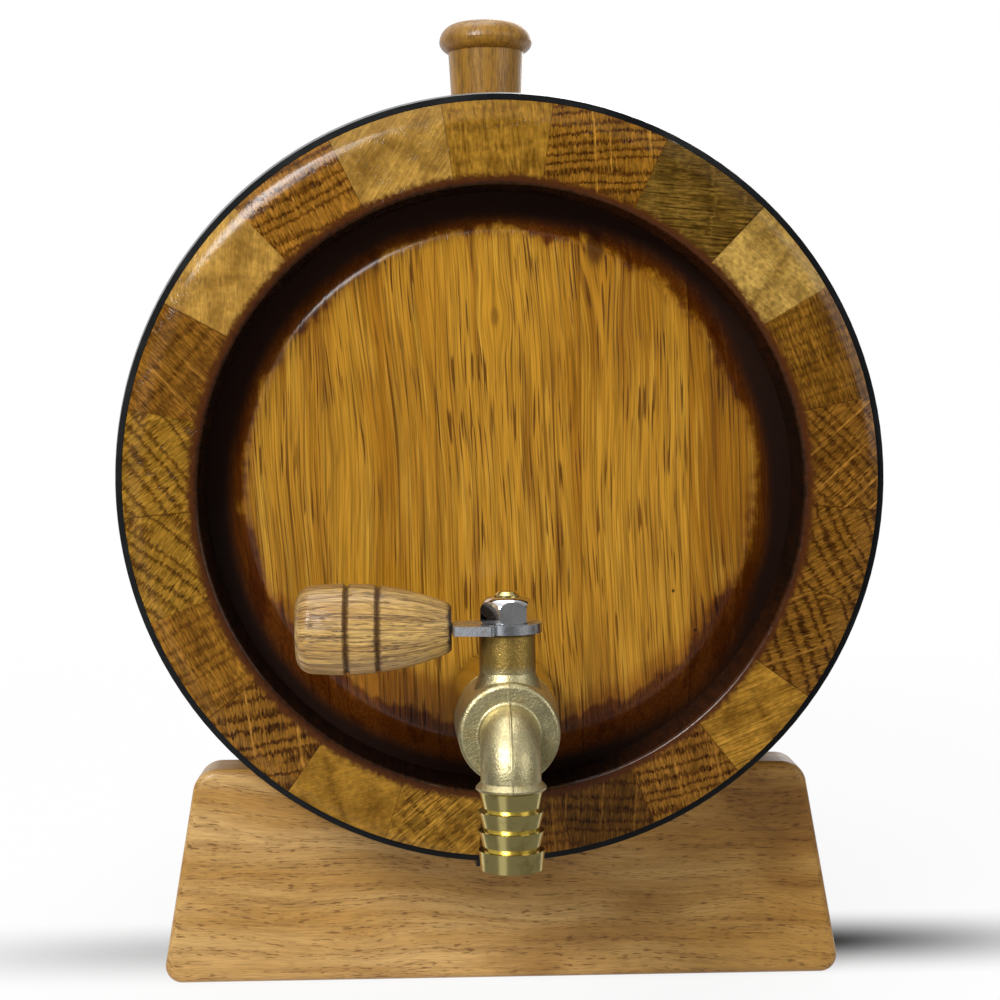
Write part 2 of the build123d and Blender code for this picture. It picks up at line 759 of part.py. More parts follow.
def make_nut():
    corner = nut_across_flats / sqrt(3)
    with BuildPart() as nut:
        with BuildSketch(Plane.XY.offset(tap_height + plate_top + nut_gap)):
            with Locations((0, stem_y)):
                RegularPolygon(radius=corner, side_count=6, rotation=nut_turn)
        extrude(amount=nut_height)
        # corners rounded off by a cone above and a small one below
        crown_start = nut_top + nut_gap - nut_crown
        with BuildSketch(stem_plane):
            with BuildLine():
                Polyline(
                    (0, plate_top), (corner - nut_foot, plate_top), (corner, plate_top + nut_foot),
                    (corner, crown_start))
                ThreePointArc(
                    (corner, crown_start),
                    (nut_top_radius + 0.62 * (corner - nut_top_radius), crown_start + 0.68 * nut_crown),
                    (nut_top_radius, nut_top + nut_gap))
                Polyline((nut_top_radius, nut_top + nut_gap), (0, nut_top + nut_gap), (0, plate_top))
            make_face()
        revolve(axis=stem_axis, mode=Mode.INTERSECT)
        with BuildSketch(Plane.XY.offset(tap_height + plate_top)):
            with Locations((0, stem_y)):
                Circle(thread_radius + press_gap)
        extrude(amount=nut_height + spare, mode=Mode.SUBTRACT)
    save(nut, "lever_nut")


def handle_section_radius(place):
    """The handle's radius at a distance from its near end, without grooves or end rounding."""
    if place < handle_widest:
        share = place / handle_widest
        return handle_neck_radius + (handle_radius - handle_neck_radius) * sin(radians(90 * share))
    share = (place - handle_widest) / (handle_length - handle_widest)
    return handle_radius - (handle_radius - handle_end_radius) * share**2


def make_handle():
    axis_z = tap_height + plate_bottom + lever_thickness / 2
    # X outwards from the near end, Y up
    plane = Plane(origin=(-handle_start, stem_y, axis_z), x_dir=(-1, 0, 0), z_dir=(0, 1, 0))
    straight = handle_length - handle_end_round
    end_radius = handle_section_radius(straight)
    end_fall = handle_end_round * (1 - cos(radians(45)))
    with BuildPart() as handle:
        with BuildSketch(plane):
            with BuildLine():
                Polyline(
                    (0, 0), (0, handle_neck_radius - handle_chamfer), (handle_chamfer, handle_neck_radius))
                Spline(
                    (handle_chamfer, handle_neck_radius),
                    (handle_widest * 0.45, handle_section_radius(handle_widest * 0.45)),
                    (handle_widest, handle_radius),
                    (straight, end_radius))
                ThreePointArc(
                    (straight, end_radius), (handle_length - end_fall, end_radius - end_fall),
                    (handle_length, end_radius - handle_end_round))
                Polyline((handle_length, end_radius - handle_end_round), (handle_length, 0), (0, 0))
            make_face()
        revolve(axis=Axis(plane.origin, plane.x_dir))
        # two scorched V-grooves
        for place in groove_places:
            half_width = groove_depth + spare
            rim = handle_section_radius(place) + spare
            with BuildSketch(plane):
                Polygon(
                    (place - half_width, rim), (place, rim - half_width), (place + half_width, rim),
                    align=None)
            revolve(axis=Axis(plane.origin, plane.x_dir), mode=Mode.SUBTRACT)
        with BuildSketch(Plane.YZ.offset(-handle_start)):
            with Locations((stem_y, axis_z)):
                Circle(tang_hole_radius)
        extrude(amount=-tang_length - tang_hole_spare, mode=Mode.SUBTRACT)
    save(handle, "handle")


# ---- stand ----

def stand_dowel_locations():
    return [(side * stand_dowel_spread / 2, stretcher_height / 2) for side in (-1, 1)]


def make_stand():
    inner_face = cradle_centre - cradle_thickness / 2
    seat_radius = shell_radius(inner_face) + cradle_gap
    for name, side in (("front_cradle", -1), ("rear_cradle", 1)):
        outer_face = side * (cradle_centre + cradle_thickness / 2)
        low = min(outer_face, side * inner_face)
        with BuildPart() as cradle:
            with BuildSketch(Plane.XZ.offset(-low)):
                with BuildLine():
                    FilletPolyline(
                        (-cradle_bottom_width / 2, 0), (cradle_bottom_width / 2, 0),
                        (cradle_top_width / 2, cradle_height), (-cradle_top_width / 2, cradle_height),
                        radius=(
                            cradle_bottom_round, cradle_bottom_round, cradle_top_round, cradle_top_round),
                        close=True)
                make_face()
                with Locations((0, axis_height)):
                    Circle(seat_radius, mode=Mode.SUBTRACT)
            extrude(amount=-cradle_thickness)
            rims = cradle.faces().filter_by(Axis.Y)
            fillet(rims.edges(), radius=cradle_edge_round)
            with BuildSketch(Plane.XZ.offset(-side * inner_face)):
                with Locations(*stand_dowel_locations()):
                    Circle(stand_dowel_radius + glue_gap)
            extrude(amount=-side * (stand_dowel_in_board + glue_gap), mode=Mode.SUBTRACT)
        save(cradle, name)
    with BuildPart() as stretcher:
        with BuildSketch(Plane.XZ.offset(inner_face)):
            with Locations((0, stretcher_height / 2)):
                Rectangle(stretcher_width, stretcher_height)
        extrude(amount=-2 * inner_face)
        chamfer(stretcher.edges().filter_by(Axis.Y), length=stretcher_edge)
        for side in (-1, 1):
            with BuildSketch(Plane.XZ.offset(-side * inner_face)):
                with Locations(*stand_dowel_locations()):
                    Circle(stand_dowel_radius + glue_gap)
            extrude(amount=side * (stand_dowel_in_rail + glue_gap), mode=Mode.SUBTRACT)
    save(stretcher, "stand_stretcher")
    with BuildPart() as dowels:
        for side in (-1, 1):
            with BuildSketch(Plane.XZ.offset(-side * (inner_face + stand_dowel_in_board))):
                with Locations(*stand_dowel_locations()):
                    Circle(stand_dowel_radius)
            extrude(amount=side * (stand_dowel_in_board + stand_dowel_in_rail))
    save(dowels, "stand_dowels")


os.makedirs("parts", exist_ok=True)
make_staves()
make_head("front_head", -1)
make_head("rear_head", 1)
make_hoops()
make_bung()
make_gasket()
make_shank()
make_tap_body()
make_seats()
make_ball()
make_stem()
make_stem_rings()
make_lever()
make_nut()
make_handle()
make_stand()
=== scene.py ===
import bpy
import math
from mathutils import Matrix, Vector


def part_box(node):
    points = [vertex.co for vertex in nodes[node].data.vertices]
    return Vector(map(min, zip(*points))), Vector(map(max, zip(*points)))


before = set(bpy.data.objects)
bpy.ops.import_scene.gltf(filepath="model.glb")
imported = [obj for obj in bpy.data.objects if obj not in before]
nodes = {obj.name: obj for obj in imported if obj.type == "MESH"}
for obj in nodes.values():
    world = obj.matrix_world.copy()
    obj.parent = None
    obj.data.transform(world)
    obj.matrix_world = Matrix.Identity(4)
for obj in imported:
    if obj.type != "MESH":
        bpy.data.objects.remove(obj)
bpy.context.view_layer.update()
print("frame loaded:", len(nodes), "nodes")

millimetre = 0.001
caskAxisHeight = 0.1357
boreAxisHeight = 0.1337  # the heads sit a little low in the shell
boreDrop = (caskAxisHeight - boreAxisHeight) / millimetre
tapHeight = 0.080


# short helpers for node trees

def addNode(tree, kind, inputs=None, **settings):
    made = tree.nodes.new("ShaderNode" + kind)
    for name, value in settings.items():
        setattr(made, name, value)
    for key, value in (inputs or {}).items():
        if isinstance(value, bpy.types.NodeSocket):
            tree.links.new(value, made.inputs[key])
        else:
            made.inputs[key].default_value = value
    return made


def maths(tree, operation, first, second=0.0):
    return addNode(tree, "Math", {0: first, 1: second}, operation=operation).outputs[0]


def fade(tree, value, start, end, low=0.0, high=1.0):
    # smooth step from low at start to high at end
    made = addNode(tree, "MapRange", {"Value": value, "From Min": start, "From Max": end,
                                      "To Min": low, "To Max": high}, interpolation_type="SMOOTHSTEP")
    return made.outputs["Result"]


def mixColour(tree, share, first, second, blend="MIX"):
    made = addNode(tree, "Mix", {0: share, 6: first, 7: second}, data_type="RGBA", blend_type=blend)
    return made.outputs[2]


def noise(tree, place, scale=1.0, detail=2.0, roughness=0.5):
    made = addNode(tree, "TexNoise", {"Vector": place, "Scale": scale, "Detail": detail,
                                      "Roughness": roughness})
    return made.outputs[0]


def stretched(tree, place, across, along, through):
    # the same place measured in cells of this size
    made = addNode(tree, "Mapping", {"Vector": place, "Scale": (1 / across, 1 / along, 1 / through)})
    return made.outputs[0]


def cellNoise(tree, place, cell, detail=2.0, roughness=0.5):
    return noise(tree, stretched(tree, place, *cell), detail=detail, roughness=roughness)


def woodPlace(tree, centre, turn):
    # millimetres from a centre, turned so that Y runs along the grain
    where = addNode(tree, "TexCoord").outputs["Object"]
    return addNode(tree, "Mapping", {"Vector": where, "Location": centre, "Rotation": turn,
                                     "Scale": (millimetre,) * 3}, vector_type="TEXTURE").outputs[0]


def grey(tree, value):
    return addNode(tree, "CombineColor", {0: value, 1: value, 2: value}).outputs[0]


def tinted(tree, colour, tint):
    return mixColour(tree, 1.0, colour, tint, "MULTIPLY")


def shade(colour, red, green, blue):
    return (colour[0] * red, colour[1] * green, colour[2] * blue, 1.0)


def startMaterial(name):
    material = bpy.data.materials.new(name)
    material.use_nodes = True
    tree = material.node_tree
    tree.nodes.clear()
    surface = addNode(tree, "BsdfPrincipled")
    output = addNode(tree, "OutputMaterial")
    tree.links.new(surface.outputs[0], output.inputs["Surface"])
    return material, tree, surface


def setSockets(tree, surface, values):
    for name, value in values.items():
        if isinstance(value, bpy.types.NodeSocket):
            tree.links.new(value, surface.inputs[name])
        else:
            surface.inputs[name].default_value = value


def bump(tree, height, depth, strength=1.0):
    # depth is in millimetres
    made = addNode(tree, "Bump", {"Height": height, "Distance": depth * millimetre, "Strength": strength})
    return made.outputs[0]


def varnish(tree, surface, colour, roughness, normal, look):
    # the gloss is the coat's, so the wood below keeps its depth of colour
    setSockets(tree, surface, {
        "Base Color": colour, "Roughness": roughness, "Normal": normal,
        "Specular IOR Level": look["specular"], "Coat Weight": look["coat"],
        "Coat Roughness": look["coatRoughness"], "Coat Normal": normal})


def dress(material, *names):
    for name in names:
        slots = nodes[name].data.materials
        for index in range(len(slots)):
            slots[index] = material
        if not len(slots):
            slots.append(material)


# the torch's scorching goes by the distance from the bore's axis, in millimetres
scorch = {
    # where each stage starts and where it is full
    "staveBrowning": (78.2, 76.2), "staveCharring": (76.2, 74.2),
    "browning": (61.0, 66.8), "reddening": (63.5, 65.8), "darkening": (65.8, 68.8), "charring": (66.8, 70.8),
    "spared": 3.5,                                          # it reaches this much less far at the right
    "upperRight": (0.64, 0.77), "upperReach": (60, 76),     # direction, then start and full
    "lowerRight": (0.72, 0.7), "lowerReach": (64, 78),
    "brown": (0.055, 0.016, 0.004, 1), "black": (0.006, 0.004, 0.003, 1), "char": (0.021, 0.010, 0.007, 1),
}


def boreRadius(tree):
    # distance in millimetres from the bore's axis, how far across and up, and the place itself
    where = addNode(tree, "TexCoord").outputs["Object"]
    near = addNode(tree, "Mapping", {"Vector": where, "Location": (0, 0, boreAxisHeight),
                                     "Scale": (millimetre,) * 3}, vector_type="TEXTURE").outputs[0]
    apart = addNode(tree, "SeparateXYZ", {"Vector": near})
    across, up = apart.outputs["X"], apart.outputs["Z"]
    flat = addNode(tree, "CombineXYZ", {"X": across, "Z": up}).outputs[0]
    radius = addNode(tree, "VectorMath", {0: flat}, operation="LENGTH").outputs["Value"]
    return radius, across, up, near


# oak as solid wood: rings, pores and rays run right through each piece
# cells are millimetres across the rings, along the grain and along the rings
oakLook = {
    "swayCell": (26, 200, 26), "raggedCell": (2.2, 20, 0.5), "spacingCell": (5.5, 60, 30),
    "patchCell": (3.4, 60, 3.4), "strokeCell": (2.4, 20, 0.3), "faintCell": (12, 80, 2),
    "mottleCell": (1.3, 14, 1.3), "cloudCell": (8, 120, 8),
    "poreAlong": 9, "rayAcross": 150, "rayAlong": 80, "lineAlong": 40,
    "ragged": 0.85, "spacing": 1.6,              # in rings
    "earlyRise": 0.18, "earlyFall": 0.3,         # share of a ring
    # where each layer starts and is full in its noise
    "pores": (0.47, 0.6), "patches": (0.36, 0.6, 0.3, 1.0), "rays": (0.63, 0.69), "faint": (0.36, 0.56),
    "light": (0.54, 0.68), "dark": (0.46, 0.32), "strokes": (0.32, 0.68), "strokeLift": 1.1,
}


def endGrain(tree, place, look):
    apart = addNode(tree, "SeparateXYZ", {"Vector": place})
    across, along, through = apart.outputs["X"], apart.outputs["Y"], apart.outputs["Z"]
    sway = maths(tree, "MULTIPLY", cellNoise(tree, place, oakLook["swayCell"], detail=1.0), look["sway"])
    bend = maths(tree, "MULTIPLY", maths(tree, "MULTIPLY", through, through), look["bend"])
    depth = maths(tree, "ADD", maths(tree, "ADD", across, sway), bend)
    ringPlace = addNode(tree, "CombineXYZ", {"X": depth, "Y": along, "Z": through}).outputs[0]
    ragged = maths(tree, "MULTIPLY", cellNoise(tree, ringPlace, oakLook["raggedCell"]), oakLook["ragged"])
    spacing = cellNoise(tree, ringPlace, oakLook["spacingCell"], detail=1.0)
    spacing = maths(tree, "MULTIPLY", spacing, oakLook["spacing"])
    count = maths(tree, "ADD", maths(tree, "DIVIDE", depth, look["ring"]), spacing)
    ring = maths(tree, "FRACT", maths(tree, "ADD", count, ragged))
    early = maths(tree, "MULTIPLY", fade(tree, ring, 0.0, oakLook["earlyRise"]),
                  fade(tree, ring, look["bandEnd"], look["bandEnd"] - oakLook["earlyFall"]))
    dashes = cellNoise(tree, ringPlace, (look["poreLong"], oakLook["poreAlong"], look["pore"]), detail=1.0)
    patches = cellNoise(tree, ringPlace, oakLook["patchCell"], detail=1.0)
    dashes = maths(tree, "MULTIPLY", fade(tree, dashes, *oakLook["pores"]),
                   fade(tree, patches, *oakLook["patches"]))
    pores = maths(tree, "MULTIPLY", dashes, maths(tree, "MAXIMUM", early, look["loose"]))
    strokes = cellNoise(tree, ringPlace, oakLook["strokeCell"], detail=1.5)
    rays = cellNoise(tree, ringPlace, (oakLook["rayAcross"], oakLook["rayAlong"], look["rayGap"]), detail=0.0)
    faint = cellNoise(tree, ringPlace, oakLook["faintCell"], detail=1.0)
    rays = maths(tree, "MULTIPLY", fade(tree, rays, *oakLook["rays"]), fade(tree, faint, *oakLook["faint"]))
    lines = cellNoise(tree, ringPlace, (look["fineLong"], oakLook["lineAlong"], look["fineGap"]), detail=1.0)
    return {
        "early": early, "pores": pores, "rays": rays,
        "light": fade(tree, lines, *oakLook["light"]), "dark": fade(tree, lines, *oakLook["dark"]),
        "mottle": cellNoise(tree, place, oakLook["mottleCell"], detail=3.0, roughness=0.6),
        "cloud": cellNoise(tree, place, oakLook["cloudCell"]),
        "strokes": fade(tree, strokes, *oakLook["strokes"], 1.0 - look["strokes"],
                        1.0 + oakLook["strokeLift"] * look["strokes"]),
    }


def spared(tree, across, up, share=1.0):
    # the scorch reaches less far in at the upper and the lower right
    (upperX, upperZ), (lowerX, lowerZ) = scorch["upperRight"], scorch["lowerRight"]
    upper = maths(tree, "ADD", maths(tree, "MULTIPLY", across, upperX), maths(tree, "MULTIPLY", up, upperZ))
    lower = maths(tree, "SUBTRACT", maths(tree, "MULTIPLY", across, lowerX),
                  maths(tree, "MULTIPLY", up, lowerZ))
    most = maths(tree, "MAXIMUM", fade(tree, upper, *scorch["upperReach"]),
                 fade(tree, lower, *scorch["lowerReach"]))
    return maths(tree, "MULTIPLY", most, scorch["spared"] * share)


# colours are the stave's own tone times these
staveLook = {
    "deepen": (0.87, 0.87, 0.66),
    "cloud": (0.32, 0.68), "cloudDark": (0.74, 0.7, 0.64), "cloudLight": (1.32, 1.36, 1.45),
    "late": (1.5, 1.6, 1.6), "light": (1.6, 1.7, 2.0), "dark": (0.42, 0.34, 0.24),
    "pore": (0.2, 0.13, 0.1), "ray": (2.2, 2.45, 3.0),
    "mottle": (0.28, 0.72), "mottleLift": 0.8,
    "joint": (0.25, 0.18, 0.15), "jointStart": 0.0045, "jointFull": 0.001, "jointShare": 0.6,
    "uneven": 2.2, "spared": 0.2,                # millimetres, and share of the whole
    "roughness": (0.5, 0.75),                    # bare and scorched
    "relief": 0.05, "mottleRelief": 0.6, "specular": 0.0, "coat": 0.45, "coatRoughness": 0.12,
}


def staveMaterial(name, centre, halfAngle, look):
    material, tree, surface = startMaterial(name)
    # the grain is along the cask, and the rings' rows lie at this angle on the end
    turn = (0, -math.radians(look["rows"] + 90), 0)
    grain = endGrain(tree, woodPlace(tree, centre, turn), look)
    tone = shade(look["tone"], *(look["lift"] * part for part in staveLook["deepen"]))
    colour = mixColour(tree, fade(tree, grain["cloud"], *staveLook["cloud"]),
                       shade(tone, *staveLook["cloudDark"]), shade(tone, *staveLook["cloudLight"]))
    late = maths(tree, "SUBTRACT", 1.0, grain["early"])
    for layer, share, times in (
            (grain["early"], "bands", look["bandShade"]), (late, "ribbons", staveLook["late"]),
            (grain["light"], "fine", staveLook["light"]), (grain["dark"], "fine", staveLook["dark"]),
            (grain["pores"], "pores", staveLook["pore"]), (grain["rays"], "rays", staveLook["ray"])):
        colour = mixColour(tree, maths(tree, "MULTIPLY", layer, look[share]), colour, shade(tone, *times))
    mottle = fade(tree, grain["mottle"], *staveLook["mottle"], 1.0 - look["mottle"],
                  1.0 + staveLook["mottleLift"] * look["mottle"])
    colour = tinted(tree, colour, grey(tree, maths(tree, "MULTIPLY", mottle, grain["strokes"])))
    radius, across, up = boreRadius(tree)[:3]
    # glue joints: thin and dark, where the slope from the stave's middle comes to its edge
    sine, cosine = math.sin(look["angle"]), math.cos(look["angle"])
    height = maths(tree, "ADD", up, -boreDrop)
    aside = maths(tree, "SUBTRACT", maths(tree, "MULTIPLY", across, sine),
                  maths(tree, "MULTIPLY", height, cosine))
    outward = maths(tree, "ADD", maths(tree, "MULTIPLY", across, cosine),
                    maths(tree, "MULTIPLY", height, sine))
    slope = maths(tree, "ABSOLUTE", maths(tree, "DIVIDE", aside, outward))
    edge = math.tan(halfAngle)
    joint = fade(tree, slope, edge - staveLook["jointStart"], edge - staveLook["jointFull"],
                 0.0, staveLook["jointShare"])
    colour = mixColour(tree, joint, colour, shade(tone, *staveLook["joint"]))
    uneven = maths(tree, "MULTIPLY", maths(tree, "SUBTRACT", grain["mottle"], 0.5), staveLook["uneven"])
    burnt = maths(tree, "ADD", maths(tree, "ADD", radius, uneven),
                  spared(tree, across, up, staveLook["spared"]))
    brown = fade(tree, burnt, *scorch["staveBrowning"])
    colour = mixColour(tree, brown, colour, scorch["brown"])
    colour = mixColour(tree, fade(tree, burnt, *scorch["staveCharring"]), colour, scorch["black"])
    relief = maths(tree, "MULTIPLY", grain["mottle"], staveLook["mottleRelief"])
    normal = bump(tree, maths(tree, "SUBTRACT", relief, grain["pores"]), staveLook["relief"], 0.5)
    varnish(tree, surface, colour, fade(tree, brown, 0.0, 1.0, *staveLook["roughness"]), normal, staveLook)
    return material


tones = {
    "pale": (0.36, 0.215, 0.06), "gold": (0.35, 0.19, 0.045), "honey": (0.235, 0.113, 0.015),
    "brown": (0.185, 0.078, 0.010), "dark": (0.15, 0.061, 0.009), "olive": (0.135, 0.071, 0.013),
    "red": (0.115, 0.045, 0.007), "russet": (0.20, 0.083, 0.012),
}
plainLook = {"tone": tones["honey"], "lift": 1.0, "rows": 0.0, "ring": 3.0, "bands": 0.35,
             "bandShade": (0.45, 0.36, 0.28), "bandEnd": 0.62, "ribbons": 0.25, "pores": 0.3, "loose": 0.1,
             "pore": 0.42, "poreLong": 1.3, "rays": 0.35,
             "rayGap": 1.0, "fine": 0.3, "fineGap": 0.6, "fineLong": 14.0, "mottle": 0.2, "strokes": 0.32,
             "sway": 3.0, "bend": 0.0}
# clockwise from the bung stave; rows is the angle of the rings' rows on the end
staveLooks = [
    {"tone": tones["honey"], "rows": 4, "ring": 5.0, "bands": 0.12, "pores": 0.1, "fine": 0.55,
     "rays": 0.1, "sway": 14.0, "fineLong": 7.0, "fineGap": 0.8, "lift": 0.95, "strokes": 0.12},
    {"tone": tones["brown"], "rows": 2, "ring": 2.55, "bands": 0.85, "pores": 0.9, "rays": 0.8,
     "rayGap": 1.3, "fine": 0.2, "bend": 0.004, "ribbons": 0.4, "lift": 0.9},
    {"tone": tones["olive"], "rows": 85, "ring": 8.3, "bands": 0.8, "bandShade": (2.1, 2.2, 2.6),
     "bandEnd": 0.36, "pores": 0.05, "rays": 0.0, "fine": 0.85, "fineGap": 0.5, "sway": 4.0,
     "ribbons": 0.0, "lift": 0.66},
    {"tone": tones["pale"], "rows": 50, "ring": 7.0, "bands": 0.1, "pores": 0.35, "pore": 0.8,
     "loose": 0.6, "rays": 0.0, "fine": 0.1, "mottle": 0.3, "ribbons": 0.1, "lift": 0.92,
     "strokes": 0.12},
    {"tone": tones["brown"], "rows": 20, "ring": 2.8, "bands": 0.45, "pores": 0.35, "rays": 0.15,
     "fine": 0.5, "ribbons": 0.1, "lift": 0.74},
    {"tone": tones["dark"], "rows": 132, "ring": 2.8, "bands": 0.7, "pores": 0.7, "rays": 0.9,
     "rayGap": 0.7, "fine": 0.6, "fineGap": 0.5, "ribbons": 0.3, "lift": 0.9},
    {"tone": tones["dark"], "rows": 118, "ring": 3.4, "bands": 0.85, "pores": 0.6, "rays": 0.2,
     "fine": 0.6, "fineGap": 0.5, "bend": 0.01, "ribbons": 0.75, "lift": 0.82},
    {"tone": tones["dark"], "rows": 107, "ring": 3.6, "bands": 0.85, "pores": 0.8, "rays": 0.7,
     "rayGap": 1.3, "fine": 0.4, "ribbons": 0.75, "lift": 0.78},
    {"tone": tones["honey"], "rows": 112, "ring": 8.0, "bands": 0.15, "pores": 0.15, "rays": 0.3,
     "fine": 0.55, "fineGap": 0.5, "ribbons": 0.1, "strokes": 0.2},
    {"tone": tones["dark"], "rows": 12, "ring": 2.9, "bands": 0.8, "pores": 1.0, "rays": 0.4,
     "fine": 0.3, "ribbons": 0.4},
    {"tone": tones["red"], "rows": -4, "ring": 3.2, "bands": 0.6, "pores": 0.7, "rays": 0.7,
     "rayGap": 0.8, "fine": 0.4, "ribbons": 0.3, "lift": 0.75},
    {"tone": tones["red"], "rows": 4, "ring": 3.4, "bands": 0.5, "pores": 0.7, "rays": 0.5,
     "rayGap": 0.8, "fine": 0.3},
    {"tone": tones["honey"], "rows": -51, "ring": 4.5, "bands": 0.35, "pores": 0.5, "rays": 0.35,
     "fine": 0.75, "fineGap": 0.5, "sway": 8.0, "lift": 0.88},
    {"tone": tones["honey"], "rows": -77, "ring": 9.0, "bands": 0.1, "pores": 0.1, "loose": 0.4,
     "rays": 0.0, "fine": 0.1, "mottle": 0.2, "strokes": 0.1},
    {"tone": tones["dark"], "rows": 8, "ring": 3.8, "bands": 0.9, "pores": 0.9, "rays": 0.9,
     "rayGap": 1.1, "fine": 0.35, "fineGap": 0.7, "sway": 1.5, "ribbons": 0.8, "lift": 0.97},
    {"tone": tones["brown"], "rows": 28, "ring": 3.4, "bands": 0.5, "pores": 0.3, "rays": 0.15,
     "fine": 0.4},
    {"tone": tones["honey"], "rows": 143, "ring": 3.8, "bands": 0.75, "pores": 0.5, "rays": 0.1,
     "fine": 0.25, "ribbons": 0.5, "lift": 0.82},
    {"tone": tones["honey"], "rows": 127, "ring": 3.6, "bands": 0.75, "pores": 0.55, "rays": 0.15,
     "fine": 0.25, "ribbons": 0.5, "lift": 0.82},
    {"tone": tones["dark"], "rows": 45, "ring": 5.2, "bands": 0.45, "pores": 0.3, "rays": 0.6,
     "rayGap": 2.6, "fine": 0.4},
    {"tone": tones["gold"], "rows": -2, "ring": 6.0, "bands": 0.1, "pores": 0.15, "pore": 0.55,
     "rays": 0.0, "fine": 0.15, "loose": 0.4, "ribbons": 0.0, "strokes": 0.12},
    {"tone": tones["russet"], "rows": 25, "ring": 3.2, "bands": 0.8, "pores": 0.85, "rays": 0.1,
     "fine": 0.25, "ribbons": 0.3},
    {"tone": tones["gold"], "rows": 148, "ring": 8.0, "bands": 0.1, "pores": 0.1, "loose": 0.3,
     "rays": 0.15, "fine": 0.2, "fineGap": 0.5, "ribbons": 0.0, "lift": 0.85, "strokes": 0.12},
]

for number, changes in enumerate(staveLooks, start=1):
    nodeName = f"stave_{number:02d}"
    points = [point.co for point in nodes[nodeName].data.vertices]
    centreX = sum(point.x for point in points) / len(points)
    centreZ = sum(point.z for point in points) / len(points)
    changes["angle"] = math.atan2(centreZ - caskAxisHeight, centreX)
    spread = [math.atan2(point.z - caskAxisHeight, point.x) - changes["angle"] for point in points]
    halfAngle = max(abs((turn + math.pi) % (2 * math.pi) - math.pi) for turn in spread)
    look = {**plainLook, **changes}
    dress(staveMaterial(f"staveOak{number:02d}", (centreX, 0, centreZ), halfAngle, look), nodeName)
print("staves dressed")


# head boards: upright grain, gloss varnish, scorched rims
headLook = {
    "lean": 2.5,                         # degrees that the grain leans from upright
    "pale": (0.45, 0.24, 0.026, 1), "gold": (0.36, 0.172, 0.014, 1), "amber": (0.25, 0.104, 0.0065, 1),
    "russet": (0.15, 0.051, 0.004, 1), "streak": (0.075, 0.023, 0.003, 1),
    "knotBrown": (0.06, 0.02, 0.005, 1), "speckBrown": (0.03, 0.012, 0.004, 1),
    "joints": (-44.0, -16.0, 20.5, 48.0), "seam": (0.28, 0.1, 0.0, 0.45),
    # across, up, size in millimetres from the head's centre, and share
    "knots": {"front_head_board_4": (24.5, 60.5, 2.6, 0.85), "front_head_board_3": (-1.0, 43.0, 1.2, 0.4)},
    "specks": {"front_head_board_4": (43.7, -26.9, 0.5), "front_head_board_5": (49.3, -37.0, 0.45)},
    "knotReach": 5, "knotPull": -0.65, "knotRound": 0.45, "knotEdge": (1.2, 0.5),
    "speckRound": 0.8, "speckShare": 0.9,
    # cells are millimetres across, through and up the boards
    "swayCell": (40, 40, 90), "bandCell": (13, 13, 170), "ribbonCell": (3.2, 3.2, 60),
    "lightCell": (1.8, 1.8, 42), "fibreCell": (0.34, 0.34, 22), "streakCell": (0.5, 0.5, 14),
    "longCell": (0.65, 0.65, 46), "zoneCell": (9, 9, 40), "blotchCell": (15, 15, 15),
    "sway": 8.0, "bands": (0.36, 0.64), "lights": (0.52, 0.72, 0.0, 0.6), "ribbons": (0.54, 0.72, 0.0, 0.65),
    "streaks": (0.57, 0.66), "zones": (0.36, 0.54), "long": (0.64, 0.74, 0.0, 0.75), "streakShare": 0.85,
    "bevel": (63.5, 65.0, 1.0, 0.2),     # fewer streaks show outside this radius
    "fibre": (0.32, 0.68, 0.7, 1.27),
    # how far the burn's edge strays, in millimetres
    "uneven": 11.0, "licked": 6.0, "charUneven": 0.12,
    "low": (-14.0, -60.0, 0.0, 3.0),     # it reaches further in at the bottom, partly as scorch and partly as painted shade
    # partly painted shade: the browning reaches further in low down and towards the left
    "lowScorchAndShade": (-16.0, -52.0, 0.0, 11.0), "leftScorchAndShade": (16.0, -12.0, 0.3, 1.0),
    "charLow": (-60.0, 20.0, -2.0, 1.0),
    # each stage of the burn multiplies the wood's colour
    "browning": (0.66, 0.53, 0.5, 1), "reddening": (0.4, 0.28, 0.38, 1), "darkening": (0.92, 0.88, 0.9, 1),
    "roughness": (0.45, 0.65), "relief": 0.07, "fibreRelief": 0.2,
    "specular": 0.0, "coat": 0.65, "coatRoughness": 0.17,
    "plankStep": (37.0, 11.0, 53.0), "rearShift": 210.0,
}


def apartFrom(tree, near, spot, flatten):
    # vector and distance from a spot on the head, the distance shortened along the grain
    away = addNode(tree, "VectorMath", {0: near, 1: (spot[0], 0, spot[1])}, operation="SUBTRACT").outputs[0]
    flat = addNode(tree, "VectorMath", {0: away, 1: (1, 0, flatten)}, operation="MULTIPLY").outputs[0]
    return away, addNode(tree, "VectorMath", {0: flat}, operation="LENGTH").outputs["Value"]


